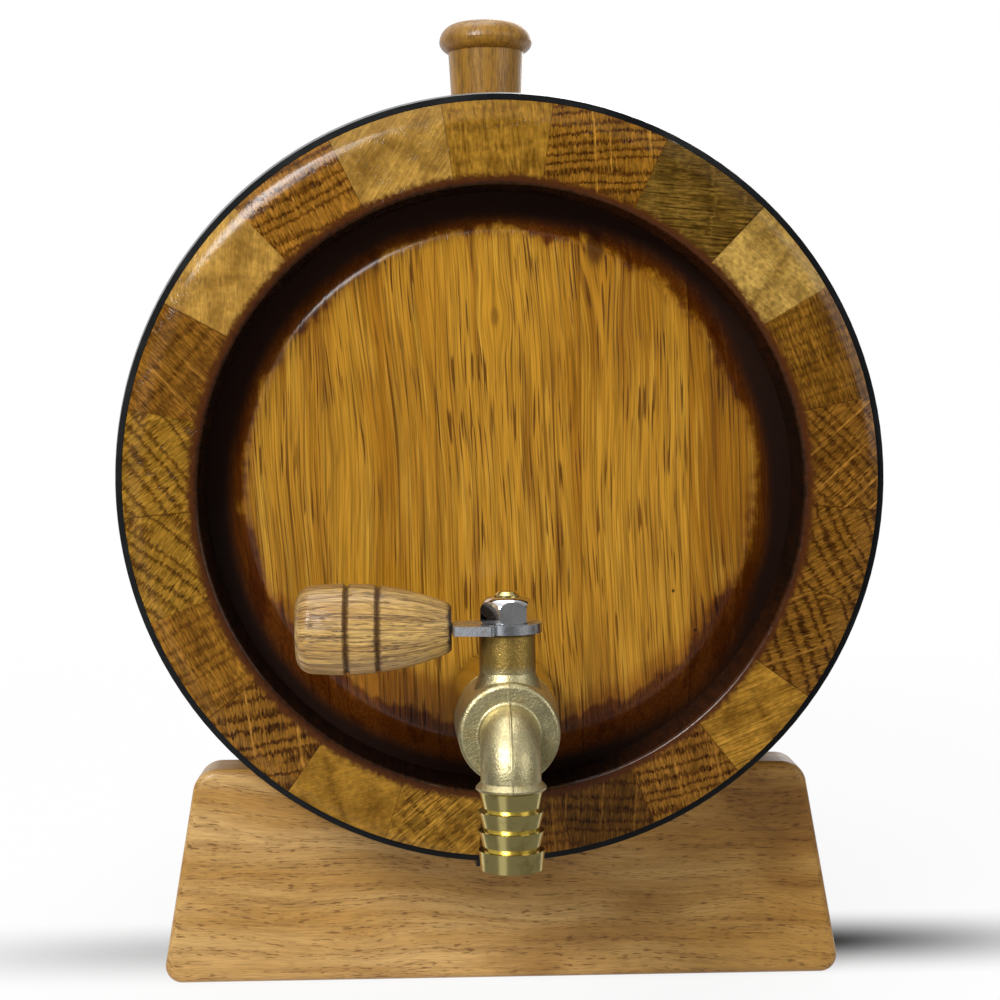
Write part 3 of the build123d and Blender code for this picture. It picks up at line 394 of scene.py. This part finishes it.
def scorchHead(tree, colour, ribbons, radius, across, up, near):
    # ragged ring: the lighter browning reaches further in at the bottom and the lower left, partly as scorch
    # and partly as painted shade
    blotch = cellNoise(tree, near, headLook["blotchCell"], detail=4.0, roughness=0.62)
    uneven = maths(tree, "MULTIPLY", maths(tree, "SUBTRACT", blotch, 0.5), headLook["uneven"])
    licked = maths(tree, "MULTIPLY", maths(tree, "SUBTRACT", ribbons, 0.5), headLook["licked"])
    less = maths(tree, "SUBTRACT", fade(tree, up, *headLook["low"]), spared(tree, across, up))
    burnt = maths(tree, "ADD", maths(tree, "ADD", radius, less), maths(tree, "ADD", uneven, licked))
    # partly painted shade: the browning reaches further in below and towards the left
    scorchAndShadeBelow = maths(tree, "MULTIPLY", fade(tree, up, *headLook["lowScorchAndShade"]),
                    fade(tree, across, *headLook["leftScorchAndShade"]))
    browned = maths(tree, "ADD", burnt, scorchAndShadeBelow)
    for distance, stage in ((browned, "browning"), (burnt, "reddening"), (burnt, "darkening")):
        dark = fade(tree, distance, *scorch[stage])
        colour = mixColour(tree, dark, colour, tinted(tree, colour, headLook[stage]))
    charred = maths(tree, "ADD", maths(tree, "SUBTRACT", radius, spared(tree, across, up)),
                    maths(tree, "MULTIPLY", uneven, headLook["charUneven"]))
    charred = maths(tree, "ADD", charred, fade(tree, up, *headLook["charLow"]))
    return mixColour(tree, fade(tree, charred, *scorch["charring"]), colour, scorch["char"]), dark


def headMaterial(name, board, shift):
    material, tree, surface = startMaterial(name)
    radius, across, up, near = boreRadius(tree)
    lean = math.radians(headLook["lean"])
    turned = addNode(tree, "Mapping", {"Vector": near, "Rotation": (0, lean, 0),
                                       "Location": shift}).outputs[0]
    knot = headLook["knots"].get(board)
    if knot:
        # the grain flows round a knot
        away, distance = apartFrom(tree, near, knot, headLook["knotRound"])
        pull = maths(tree, "MULTIPLY", fade(tree, distance, knot[2] * headLook["knotReach"], 0.0),
                     headLook["knotPull"])
        push = addNode(tree, "VectorMath", {0: away, 3: pull}, operation="SCALE").outputs[0]
        push = addNode(tree, "VectorMath", {0: push, 1: (1, 0, 0)}, operation="MULTIPLY").outputs[0]
        turned = addNode(tree, "VectorMath", {0: turned, 1: push}, operation="ADD").outputs[0]
    sway = cellNoise(tree, turned, headLook["swayCell"], detail=1.0)
    sway = maths(tree, "MULTIPLY", sway, headLook["sway"])
    swayVector = addNode(tree, "CombineXYZ", {"X": sway}).outputs[0]
    grain = addNode(tree, "VectorMath", {0: turned, 1: swayVector}, operation="ADD").outputs[0]
    bands = cellNoise(tree, grain, headLook["bandCell"], detail=1.5)
    ribbons = cellNoise(tree, grain, headLook["ribbonCell"], detail=1.5)
    lights = cellNoise(tree, grain, headLook["lightCell"], detail=1.0)
    fibre = cellNoise(tree, grain, headLook["fibreCell"], roughness=0.6)
    streaks = cellNoise(tree, grain, headLook["streakCell"], detail=0.5)
    long = cellNoise(tree, grain, headLook["longCell"], detail=0.5)
    zones = cellNoise(tree, grain, headLook["zoneCell"], detail=1.0)
    colour = mixColour(tree, fade(tree, bands, *headLook["bands"]), headLook["gold"], headLook["amber"])
    colour = mixColour(tree, fade(tree, lights, *headLook["lights"]), colour, headLook["pale"])
    colour = mixColour(tree, fade(tree, ribbons, *headLook["ribbons"]), colour, headLook["russet"])
    deep = maths(tree, "MULTIPLY", fade(tree, streaks, *headLook["streaks"]),
                 fade(tree, zones, *headLook["zones"]))
    deep = maths(tree, "MAXIMUM", deep, fade(tree, long, *headLook["long"]))
    deep = maths(tree, "MULTIPLY", deep, fade(tree, radius, *headLook["bevel"]))
    colour = mixColour(tree, maths(tree, "MULTIPLY", deep, headLook["streakShare"]), colour,
                       headLook["streak"])
    colour = tinted(tree, colour, grey(tree, fade(tree, fibre, *headLook["fibre"])))
    seam = 0.0
    for joint in headLook["joints"]:
        beside = maths(tree, "ABSOLUTE", maths(tree, "SUBTRACT", across, joint))
        seam = maths(tree, "MAXIMUM", seam, fade(tree, beside, *headLook["seam"]))
    colour = mixColour(tree, seam, colour, headLook["streak"])
    if knot:
        outer, inner = (knot[2] * edge for edge in headLook["knotEdge"])
        colour = mixColour(tree, fade(tree, distance, outer, inner, 0.0, knot[3]), colour,
                           headLook["knotBrown"])
    speck = headLook["specks"].get(board)
    if speck:
        distance = apartFrom(tree, near, speck, headLook["speckRound"])[1]
        share = fade(tree, distance, speck[2], speck[2] * 0.5, 0.0, headLook["speckShare"])
        colour = mixColour(tree, share, colour, headLook["speckBrown"])
    colour, dark = scorchHead(tree, colour, ribbons, radius, across, up, near)
    relief = maths(tree, "SUBTRACT", maths(tree, "MULTIPLY", fibre, headLook["fibreRelief"]), deep)
    normal = bump(tree, relief, headLook["relief"], 0.5)
    varnish(tree, surface, colour, fade(tree, dark, 0.0, 1.0, *headLook["roughness"]), normal, headLook)
    return material


for end, further in (("front", 0.0), ("rear", headLook["rearShift"])):
    for number in range(1, 6):
        board = f"{end}_head_board_{number}"
        # neighbouring boards come from other planks
        stepX, stepY, stepZ = (number * step for step in headLook["plankStep"])
        shift = (further + stepX, stepY, stepZ + further)
        dress(headMaterial(f"{end}HeadOak{number}", board, shift), board)
print("heads dressed")


# other wood: handle, bung, stand, dowels

# cells are millimetres along the grain and twice across it, before a look's own size
boardLook = {
    "swayCell": (70, 30, 30), "bandCell": (90, 9, 9), "rowCell": (34, 2.0, 2.0),
    "fleckCell": (3.0, 0.4, 0.4), "fibreCell": (5, 0.28, 0.28), "lineGap": 0.7,
    # where each layer starts and is full in its noise
    "bands": (0.3, 0.7), "rows": (0.48, 0.7), "lines": (0.52, 0.66), "flecks": (0.55, 0.65),
    "fleckRows": (0.36, 0.58), "fibre": (0.3, 0.7), "fibreRelief": 0.4,
}


def boardMaterial(name, place, look):
    # place gives millimetres with X along the grain
    def sized(key):
        return [side * look["size"] for side in boardLook[key]]

    material, tree, surface = startMaterial(name)
    point = place(tree)
    sway = maths(tree, "MULTIPLY", cellNoise(tree, point, boardLook["swayCell"], detail=1.5), look["sway"])
    swayVector = addNode(tree, "CombineXYZ", {"Z": sway}).outputs[0]
    grain = addNode(tree, "VectorMath", {0: point, 1: swayVector}, operation="ADD").outputs[0]
    bands = cellNoise(tree, grain, sized("bandCell"))
    rows = cellNoise(tree, grain, sized("rowCell"), roughness=0.6)
    lineGap = boardLook["lineGap"] * look["size"]
    lines = cellNoise(tree, grain, (look["lineLong"], lineGap, lineGap), detail=1.5)
    flecks = cellNoise(tree, grain, sized("fleckCell"), detail=1.0)
    fibre = cellNoise(tree, grain, sized("fibreCell"))
    line = fade(tree, lines, *boardLook["lines"], 0.0, look["lines"])
    fleck = maths(tree, "MULTIPLY", fade(tree, flecks, *boardLook["flecks"]),
                  fade(tree, rows, *boardLook["fleckRows"]))
    colour = mixColour(tree, fade(tree, bands, *boardLook["bands"]), look["light"], look["mid"])
    colour = mixColour(tree, fade(tree, rows, *boardLook["rows"], 0.0, look["rows"]), colour, look["dark"])
    colour = mixColour(tree, line, colour, look["dark"])
    colour = mixColour(tree, maths(tree, "MULTIPLY", fleck, look["flecks"]), colour, look["pore"])
    colour = tinted(tree, colour, grey(tree, fade(tree, fibre, *boardLook["fibre"], *look["fibre"])))
    # a look's own extra marks: real scorch on the handle, the cask's painted shadow and painted shade on the
    # stand
    if "finish" in look:
        colour = look["finish"](tree, colour)
    relief = maths(tree, "MULTIPLY", fibre, boardLook["fibreRelief"])
    relief = maths(tree, "SUBTRACT", relief, maths(tree, "ADD", fleck, line))
    normal = bump(tree, relief, look["relief"], 0.6)
    varnish(tree, surface, colour, look["roughness"], normal, look)
    return material


def placeAlong(centre, degrees):
    return lambda tree: woodPlace(tree, centre, [math.radians(angle) for angle in degrees])


def placeRound(centre, radius, endAlong, endFade):
    # streaks that follow a turned surface: every point is moved out to one radius
    def place(tree):
        apart = addNode(tree, "SeparateXYZ", {"Vector": woodPlace(tree, centre, (0, 0, 0))})
        flat = addNode(tree, "CombineXYZ", {"Y": apart.outputs["Y"], "Z": apart.outputs["Z"]}).outputs[0]
        outward = addNode(tree, "VectorMath", {0: flat}, operation="NORMALIZE").outputs[0]
        moved = addNode(tree, "VectorMath", {0: outward, 3: radius}, operation="SCALE").outputs[0]
        along = addNode(tree, "CombineXYZ", {"X": apart.outputs["X"]}).outputs[0]
        wrapped = addNode(tree, "VectorMath", {0: moved, 1: along}, operation="ADD").outputs[0]
        # the flat end shows the plain wood
        atEnd = fade(tree, apart.outputs["X"], endAlong + endFade[0], endAlong + endFade[1])
        plain = addNode(tree, "VectorMath", {0: flat, 1: along}, operation="ADD").outputs[0]
        return mixColour(tree, atEnd, wrapped, plain)
    return place


handleLook = {
    "size": 0.75, "sway": 3.0, "lineLong": 26, "rows": 0.45, "lines": 0.6, "flecks": 0.7,
    "light": (0.50, 0.32, 0.10, 1), "mid": (0.29, 0.142, 0.027, 1), "dark": (0.11, 0.045, 0.009, 1),
    "pore": (0.06, 0.025, 0.006, 1), "fibre": (0.68, 1.3),
    "roughness": 0.36, "relief": 0.3, "specular": 0.2, "coat": 0.7, "coatRoughness": 0.18,
    "radius": 10.0, "endFade": (1.2, 0.4),       # millimetres
    "grooves": (-0.0296, -0.0368), "groove": (0.0012, 0.0002, 0.0, 0.88),
    "grooveBrown": (0.06, 0.024, 0.007, 1),
    "start": -0.0128, "startFade": (0.0016, 0.0003), "startBlack": (0.02, 0.01, 0.005, 1),
    "strayScale": 900.0, "stray": 0.0012, "startStray": 1.6,
}


def burnHandle(tree, colour):
    # scorched grooves and the charred end at the lever
    where = addNode(tree, "TexCoord").outputs["Object"]
    along = addNode(tree, "SeparateXYZ", {"Vector": where}).outputs["X"]
    stray = maths(tree, "SUBTRACT", noise(tree, where, handleLook["strayScale"], 3.0), 0.5)
    stray = maths(tree, "MULTIPLY", stray, handleLook["stray"])
    for groove in handleLook["grooves"]:
        away = maths(tree, "ABSOLUTE", maths(tree, "SUBTRACT", along, groove))
        share = fade(tree, maths(tree, "ADD", away, stray), *handleLook["groove"])
        colour = mixColour(tree, share, colour, handleLook["grooveBrown"])
    end = maths(tree, "ADD", along, maths(tree, "MULTIPLY", stray, handleLook["startStray"]))
    bare, charred = (handleLook["start"] - step for step in handleLook["startFade"])
    return mixColour(tree, fade(tree, end, bare, charred), colour, handleLook["startBlack"])


handleLook["finish"] = burnHandle
handleMiddle = (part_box("handle")[0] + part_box("handle")[1]) / 2
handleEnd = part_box("handle")[0].x / millimetre
handlePlace = placeRound((0, handleMiddle.y, handleMiddle.z), handleLook["radius"], handleEnd,
                         handleLook["endFade"])
dress(boardMaterial("handleOak", handlePlace, handleLook), "handle")

bungLook = {
    "size": 0.9, "sway": 2.0, "lineLong": 16, "rows": 0.5, "lines": 0.45, "flecks": 0.5,
    "light": (0.34, 0.175, 0.024, 1), "mid": (0.27, 0.128, 0.014, 1), "dark": (0.14, 0.06, 0.009, 1),
    "pore": (0.08, 0.033, 0.006, 1), "fibre": (0.84, 1.14),
    "roughness": 0.42, "relief": 0.08, "specular": 0.2, "coat": 0.45, "coatRoughness": 0.2,
}
dress(boardMaterial("bungOak", placeAlong((0, 0, 0.25), (0, 90, 0)), bungLook), "bung")

standLook = {
    "size": 1.0, "sway": 16.0, "lineLong": 17, "rows": 0.42, "lines": 0.2, "flecks": 0.75,
    "light": (0.56, 0.345, 0.125, 1), "mid": (0.41, 0.215, 0.048, 1), "dark": (0.26, 0.122, 0.026, 1),
    "pore": (0.15, 0.062, 0.012, 1), "fibre": (0.86, 1.12),
    "roughness": 0.45, "relief": 0.04, "specular": 0.2, "coat": 0.25, "coatRoughness": 0.2,
    # metres; the patches stand partly for the cask's painted shadow, and the darker right side is painted
    # shade
    "patchCell": (0.045, 0.05, 0.022), "patches": (0.48, 0.66), "patchAndShadowSide": (-0.04, 0.03, 0.15, 1.0),
    "patchAndShadowTint": (0.68, 0.6, 0.45, 1), "paintedShadeSide": (-0.03, 0.085), "paintedShadeTint": (0.76, 0.7, 0.5, 1),
}


def standPatchesAndPaintedShade(tree, colour):
    # broad patches, partly wood and partly the cask's painted shadow, and painted shade that darkens the
    # board towards its right end
    where = addNode(tree, "TexCoord").outputs["Object"]
    across = addNode(tree, "SeparateXYZ", {"Vector": where}).outputs["X"]
    patches = cellNoise(tree, where, standLook["patchCell"])
    share = maths(tree, "MULTIPLY", fade(tree, patches, *standLook["patches"]),
                  fade(tree, across, *standLook["patchAndShadowSide"]))
    colour = mixColour(tree, share, colour, tinted(tree, colour, standLook["patchAndShadowTint"]))
    return mixColour(tree, fade(tree, across, *standLook["paintedShadeSide"]), colour,
                     tinted(tree, colour, standLook["paintedShadeTint"]))


standLook["finish"] = standPatchesAndPaintedShade
for materialName, nodeName, centre, degrees in (
        ("frontCradleOak", "front_cradle", (0.02, 0, 0.02), (0, 2, 0)),
        ("rearCradleOak", "rear_cradle", (0.4, 0.3, 0.02), (0, -1, 0)),
        ("stretcherOak", "stand_stretcher", (0, 0, 0), (0, 0, 90))):
    dress(boardMaterial(materialName, placeAlong(centre, degrees), standLook), nodeName)

dowelLook = {
    "size": 0.7, "sway": 1.0, "lineLong": 14, "rows": 0.4, "lines": 0.2, "flecks": 0.3,
    "light": (0.52, 0.39, 0.22, 1), "mid": (0.46, 0.33, 0.17, 1), "dark": (0.36, 0.24, 0.11, 1),
    "pore": (0.3, 0.19, 0.08, 1), "fibre": (0.9, 1.08),
    "roughness": 0.6, "relief": 0.05, "specular": 0.2, "coat": 0.0, "coatRoughness": 0.3,
}
dress(boardMaterial("dowelBeech", placeAlong((0, 0, 0), (0, 0, 0)), dowelLook), "front_head_dowels",
      "rear_head_dowels")
dress(boardMaterial("standDowelBeech", placeAlong((0, 0, 0), (0, 0, 90)), dowelLook), "stand_dowels")
print("handle, bung and stand dressed")


# hoops: black painted strip steel
hoopLook = {
    "colour": (0.004, 0.0048, 0.0056, 1), "dust": (0.012, 0.012, 0.012, 1), "dustShare": (0.5, 0.8, 0.0, 0.5),
    "roughness": (0.2, 0.8, 0.24, 0.4), "specular": 0.3, "relief": 0.03,
    "peelScale": 900.0, "dustScale": 90.0,
}


def hoopMaterial():
    material, tree, surface = startMaterial("hoopPaint")
    where = addNode(tree, "TexCoord").outputs["Object"]
    peel = noise(tree, where, hoopLook["peelScale"], 2.0)
    dust = noise(tree, where, hoopLook["dustScale"], 4.0)
    colour = mixColour(tree, fade(tree, dust, *hoopLook["dustShare"]), hoopLook["colour"], hoopLook["dust"])
    setSockets(tree, surface, {
        "Base Color": colour, "Roughness": fade(tree, dust, *hoopLook["roughness"]),
        "Normal": bump(tree, peel, hoopLook["relief"], 0.35), "Specular IOR Level": hoopLook["specular"]})
    return material


dress(hoopMaterial(), "front_chime_hoop", "front_bilge_hoop", "rear_bilge_hoop", "rear_chime_hoop",
      "hoop_rivets")


# brass: sand-cast body, turned barbs and collar
brassLook = {
    "cast": (0.54, 0.475, 0.265, 1), "boss": (0.50, 0.33, 0.09, 1), "turned": (0.68, 0.57, 0.22, 1),
    "tarnish": (0.36, 0.24, 0.07, 1),
    "barbTop": 0.0108, "barbFade": 0.0002,       # below the tap's axis
    "bossFoot": 0.0125, "bossFade": 0.003,       # above it
    "seam": 0.00022,                             # half width of the parting line
    "seamTop": 0.0116, "seamFade": 0.0008,       # it ends this far above the axis
    "seamHeight": 1.6,
    "stainScale": 170.0, "sandScale": 2400.0, "lumpScale": 600.0,
    "shankCell": (0.4, 0.00012, 0.4), "barbCell": (0.4, 0.4, 0.00014),      # turning marks
    "shankStain": (0.5, 0.75, 0.0, 0.5), "castStain": (0.5, 0.72, 0.0, 0.6),
    "speckle": (0.3, 0.7, 0.82, 1.12),
    "sand": 0.8, "lumps": 0.9, "turnedRelief": 0.05, "shankRelief": 0.01, "castRelief": 0.13,
    "turnedRoughness": 0.2, "castRoughness": (0.3, 0.7, 0.36, 0.5),
}


def shankMaterial(name):
    material, tree, surface = startMaterial(name)
    where = addNode(tree, "TexCoord").outputs["Object"]
    stain = noise(tree, where, brassLook["stainScale"], 5.0, 0.65)
    marks = cellNoise(tree, where, brassLook["shankCell"], detail=1.0)
    setSockets(tree, surface, {
        "Base Color": mixColour(tree, fade(tree, stain, *brassLook["shankStain"]), brassLook["turned"],
                                brassLook["tarnish"]),
        "Metallic": 1.0, "Roughness": brassLook["turnedRoughness"],
        "Normal": bump(tree, marks, brassLook["shankRelief"], 0.6)})
    return material


def castMaterial(name):
    material, tree, surface = startMaterial(name)
    where = addNode(tree, "TexCoord").outputs["Object"]
    apart = addNode(tree, "SeparateXYZ", {"Vector": where})
    height = apart.outputs["Z"]
    barbTop, bossFoot = tapHeight - brassLook["barbTop"], tapHeight + brassLook["bossFoot"]
    seamTop = tapHeight + brassLook["seamTop"]
    cast = fade(tree, height, barbTop - brassLook["barbFade"], barbTop + brassLook["barbFade"])
    dull = fade(tree, height, bossFoot, bossFoot + brassLook["bossFade"])
    stain = noise(tree, where, brassLook["stainScale"], 5.0, 0.65)
    sand = noise(tree, where, brassLook["sandScale"], 2.0, 0.6)
    lumps = noise(tree, where, brassLook["lumpScale"], 2.0, 0.5)
    clean = mixColour(tree, cast, brassLook["turned"], brassLook["cast"])
    clean = mixColour(tree, dull, clean, brassLook["boss"])
    colour = mixColour(tree, fade(tree, stain, *brassLook["castStain"]), clean, brassLook["tarnish"])
    speckle = grey(tree, fade(tree, sand, *brassLook["speckle"]))
    colour = mixColour(tree, cast, colour, tinted(tree, colour, speckle))
    seam = fade(tree, maths(tree, "ABSOLUTE", apart.outputs["X"]), brassLook["seam"] * 2, 0.0)
    seam = maths(tree, "MULTIPLY", seam, fade(tree, height, seamTop, seamTop - brassLook["seamFade"],
                                              0.0, brassLook["seamHeight"]))
    grainy = maths(tree, "ADD", maths(tree, "MULTIPLY", sand, brassLook["sand"]),
                   maths(tree, "MULTIPLY", lumps, brassLook["lumps"]))
    marks = cellNoise(tree, where, brassLook["barbCell"], detail=1.0)
    relief = mixColour(tree, cast, maths(tree, "MULTIPLY", marks, brassLook["turnedRelief"]),
                       maths(tree, "ADD", grainy, seam))
    smooth = (brassLook["turnedRoughness"],) * 3 + (1,)
    rough = grey(tree, fade(tree, stain, *brassLook["castRoughness"]))
    setSockets(tree, surface, {
        "Base Color": colour, "Metallic": 1.0, "Roughness": mixColour(tree, cast, smooth, rough),
        "Normal": bump(tree, relief, brassLook["castRelief"], 0.8)})
    return material


dress(castMaterial("tapCast"), "tap_body")
dress(shankMaterial("tapTurned"), "tap_shank", "valve_stem")


# steel, chrome, rubber and plastic of the tap
metalLooks = {
    "leverZinc": {"node": "lever", "colour": (0.66, 0.69, 0.73, 1), "stain": (0.24, 0.19, 0.14, 1),
                  "roughness": (0.2, 0.4), "relief": 0.06},
    "nutChrome": {"node": "lever_nut", "colour": (0.80, 0.80, 0.82, 1), "stain": (0.62, 0.6, 0.58, 1),
                  "roughness": (0.05, 0.14), "relief": 0.01},
    "ballChrome": {"node": "valve_ball", "colour": (0.82, 0.82, 0.83, 1), "stain": (0.75, 0.75, 0.75, 1),
                   "roughness": (0.04, 0.08), "relief": 0.0},
}
# the stains and fine texture of all three, and where each change starts and is full in the stain's noise
metalSkin = {"stainScale": 260.0, "fineScale": 2200.0, "stained": (0.42, 0.75), "dulled": (0.3, 0.75)}


def metalMaterial(name, look):
    material, tree, surface = startMaterial(name)
    where = addNode(tree, "TexCoord").outputs["Object"]
    stain = noise(tree, where, metalSkin["stainScale"], 4.0, 0.65)
    fine = noise(tree, where, metalSkin["fineScale"])
    stained = fade(tree, stain, *metalSkin["stained"])
    setSockets(tree, surface, {
        "Base Color": mixColour(tree, stained, look["colour"], look["stain"]),
        "Metallic": 1.0, "Roughness": fade(tree, stain, *metalSkin["dulled"], *look["roughness"]),
        "Normal": bump(tree, fine, look["relief"], 0.5)})
    return material


for materialName, look in metalLooks.items():
    dress(metalMaterial(materialName, look), look["node"])

softLooks = {
    "gasketRubber": {"nodes": ("tap_gasket", "stem_seal"),
                     "colour": (0.014, 0.014, 0.015, 1), "roughness": 0.7},
    "seatPlastic": {"nodes": ("front_ball_seat", "rear_ball_seat", "thrust_washer"),
                    "colour": (0.82, 0.82, 0.8, 1), "roughness": 0.35},
}
# the fine grain of both
softSkin = {"scale": 1500.0, "mottle": (0.2, 0.8, 0.85, 1.15), "relief": 0.02}


def softMaterial(name, look):
    material, tree, surface = startMaterial(name)
    where = addNode(tree, "TexCoord").outputs["Object"]
    grain = noise(tree, where, softSkin["scale"], 3.0)
    tint = grey(tree, fade(tree, grain, *softSkin["mottle"]))
    setSockets(tree, surface, {
        "Base Color": tinted(tree, look["colour"], tint), "Roughness": look["roughness"],
        "Normal": bump(tree, grain, softSkin["relief"], 0.4)})
    return material


for materialName, look in softLooks.items():
    dress(softMaterial(materialName, look), *look["nodes"])
print("tap dressed")


# floor, light and camera
stageLook = {
    "floorSize": 14.0, "floor": (0.86, 0.86, 0.86, 1), "room": 0.3,
    "floorGlow": (0.25, 0.9, 0.9, 1.0),          # share of its white that is its own, all of it far off
    "floorLit": (-0.95, -0.5, 0.0, 0.22),        # shiny pieces see a lit floor close in front of them
    "shadow": {"y": -0.058, "reach": 0.036, "far": 0.2, "near": 0.085, "depth": 0.44,
               "right": (0.0, 0.06, 1.0, 2.3)},
    "key": {"place": (-0.80, -1.32, 1.02), "power": 11.0, "size": 0.5},
    "window": {"place": (-0.62, -1.4, 0.98), "power": 13.0, "size": 0.6},
    "fill": {"place": (1.3, -1.0, 0.6), "power": 5.0, "size": 0.9},
    "top": {"place": (-0.1, 0.1, 1.5), "power": 9.0, "size": 0.9},
    "back": {"place": (0.5, 1.5, 0.9), "power": 9.0, "size": 0.9},
    "target": (0.0, -0.1, 0.12),
}

# what shiny pieces mirror, by the angle from the front in degrees, left negative, and by height
mirrorLook = {
    "middle": (0, 0.15, 0),
    "behindLeft": (-100, -122, 0.0, 0.9), "behindRight": (104, 128, 0.0, 0.9),
    "windowStart": (-46, -38), "windowEnd": (-12, -20, 0.0, 0.55), "windowTop": (0.3, 0.2),
    "sideStart": (14, 24), "sideEnd": (100, 80, 0.0, 0.14),
    "above": (0.38, 0.52), "aboveLeft": (30, -20, 0.4, 1.0), "everywhere": 0.05,
}


def surroundings(tree, direction):
    apart = addNode(tree, "SeparateXYZ", {"Vector": direction})
    up = apart.outputs["Z"]
    forward = maths(tree, "MULTIPLY", apart.outputs["Y"], -1.0)
    angle = maths(tree, "ARCTAN2", apart.outputs["X"], forward)
    angle = maths(tree, "MULTIPLY", angle, math.degrees(1))
    behind = maths(tree, "ADD", fade(tree, angle, *mirrorLook["behindLeft"]),
                   fade(tree, angle, *mirrorLook["behindRight"]))
    window = maths(tree, "MULTIPLY", fade(tree, angle, *mirrorLook["windowStart"]),
                   fade(tree, angle, *mirrorLook["windowEnd"]))
    window = maths(tree, "MULTIPLY", window, fade(tree, up, *mirrorLook["windowTop"]))
    side = maths(tree, "MULTIPLY", fade(tree, angle, *mirrorLook["sideStart"]),
                 fade(tree, angle, *mirrorLook["sideEnd"]))
    level = maths(tree, "ADD", behind, maths(tree, "ADD", window, side))
    above = maths(tree, "MULTIPLY", fade(tree, up, *mirrorLook["above"]),
                  fade(tree, angle, *mirrorLook["aboveLeft"]))
    return maths(tree, "MAXIMUM", maths(tree, "ADD", level, mirrorLook["everywhere"]), above)


def makeFloor():
    bpy.ops.mesh.primitive_plane_add(size=stageLook["floorSize"], location=(0, 0, 0))
    floor = bpy.context.object
    floor.name = "floor"
    material = bpy.data.materials.new("floorWhite")
    material.use_nodes = True
    tree = material.node_tree
    tree.nodes.clear()
    where = addNode(tree, "TexCoord").outputs["Object"]
    apart = addNode(tree, "SeparateXYZ", {"Vector": where})
    # the soft shadow along the stand's front foot
    soft = stageLook["shadow"]
    along = maths(tree, "ABSOLUTE", maths(tree, "SUBTRACT", apart.outputs["Y"], soft["y"]))
    aside = maths(tree, "ABSOLUTE", apart.outputs["X"])
    aside = fade(tree, aside, soft["far"], soft["near"], 0.0, soft["depth"])
    aside = maths(tree, "MULTIPLY", aside, fade(tree, apart.outputs["X"], *soft["right"]))
    shadow = maths(tree, "MULTIPLY", fade(tree, along, soft["reach"], 0.0), aside)
    tone = maths(tree, "SUBTRACT", 1.0, shadow)
    paths = addNode(tree, "LightPath").outputs
    around = addNode(tree, "VectorMath", {0: where, 1: mirrorLook["middle"]}, operation="ADD").outputs[0]
    mirrored = maths(tree, "MAXIMUM", surroundings(tree, around),
                     fade(tree, apart.outputs["Y"], *stageLook["floorLit"]))
    plain = addNode(tree, "BsdfDiffuse", {"Color": stageLook["floor"]})
    white = addNode(tree, "Emission", {"Color": (1, 1, 1, 1), "Strength": tone})
    mirror = addNode(tree, "Emission", {"Color": (1, 1, 1, 1), "Strength": mirrored})
    distance = addNode(tree, "VectorMath", {0: where}, operation="LENGTH").outputs["Value"]
    straight = maths(tree, "MAXIMUM", paths["Is Camera Ray"], paths["Is Transmission Ray"])
    share = maths(tree, "MULTIPLY", straight, fade(tree, distance, *stageLook["floorGlow"]))
    both = addNode(tree, "MixShader", {0: share, 1: plain.outputs[0], 2: white.outputs[0]})
    whole = addNode(tree, "MixShader", {0: paths["Is Glossy Ray"], 1: both.outputs[0], 2: mirror.outputs[0]})
    output = addNode(tree, "OutputMaterial")
    tree.links.new(whole.outputs[0], output.inputs["Surface"])
    floor.data.materials.append(material)


def makeRoom():
    world = bpy.data.worlds.new("studio")
    bpy.context.scene.world = world
    world.use_nodes = True
    tree = world.node_tree
    tree.nodes.clear()
    paths = addNode(tree, "LightPath").outputs
    direction = addNode(tree, "TexCoord").outputs["Generated"]
    mirrored = surroundings(tree, direction)
    soft = maths(tree, "MULTIPLY", mirrored, paths["Is Glossy Ray"])
    other = maths(tree, "MULTIPLY", maths(tree, "SUBTRACT", 1.0, paths["Is Glossy Ray"]), stageLook["room"])
    level = maths(tree, "MAXIMUM", maths(tree, "ADD", soft, other),
                  maths(tree, "MAXIMUM", paths["Is Camera Ray"], paths["Is Transmission Ray"]))
    glow = addNode(tree, "Background", {"Color": (1, 1, 1, 1), "Strength": level})
    output = addNode(tree, "OutputWorld")
    tree.links.new(glow.outputs[0], output.inputs["Surface"])


def makeLamp(name):
    look = stageLook[name]
    data = bpy.data.lights.new(name, "AREA")
    data.energy = look["power"]
    data.size = look["size"]
    lamp = bpy.data.objects.new(name, data)
    bpy.context.collection.objects.link(lamp)
    lamp.location = look["place"]
    lamp.rotation_euler = (Vector(stageLook["target"]) - lamp.location).to_track_quat("-Z", "Y").to_euler()


cameraLook = {
    "place": (-0.0134, -0.620, 0.1557), "pitchDown": 2.87, "turnRight": 1.51, "roll": -0.6,
    "lens": 71.8, "sensor": 36.0, "nearest": 0.01,
}


def makeCamera():
    data = bpy.data.cameras.new("camera")
    data.lens = cameraLook["lens"]
    data.sensor_width = cameraLook["sensor"]
    camera = bpy.data.objects.new("camera", data)
    bpy.context.collection.objects.link(camera)
    pitch = Matrix.Rotation(math.radians(90 - cameraLook["pitchDown"]), 4, "X")
    roll = Matrix.Rotation(math.radians(cameraLook["roll"]), 4, "Z")
    turn = Matrix.Rotation(math.radians(-cameraLook["turnRight"]), 4, "Z")
    camera.matrix_world = Matrix.Translation(cameraLook["place"]) @ turn @ pitch @ roll
    data.clip_start = cameraLook["nearest"]
    bpy.context.scene.camera = camera


makeFloor()
makeRoom()
for lampName in ("key", "window", "fill", "top", "back"):
    makeLamp(lampName)
makeCamera()
bpy.context.scene.view_settings.view_transform = "Standard"
print("stage set")
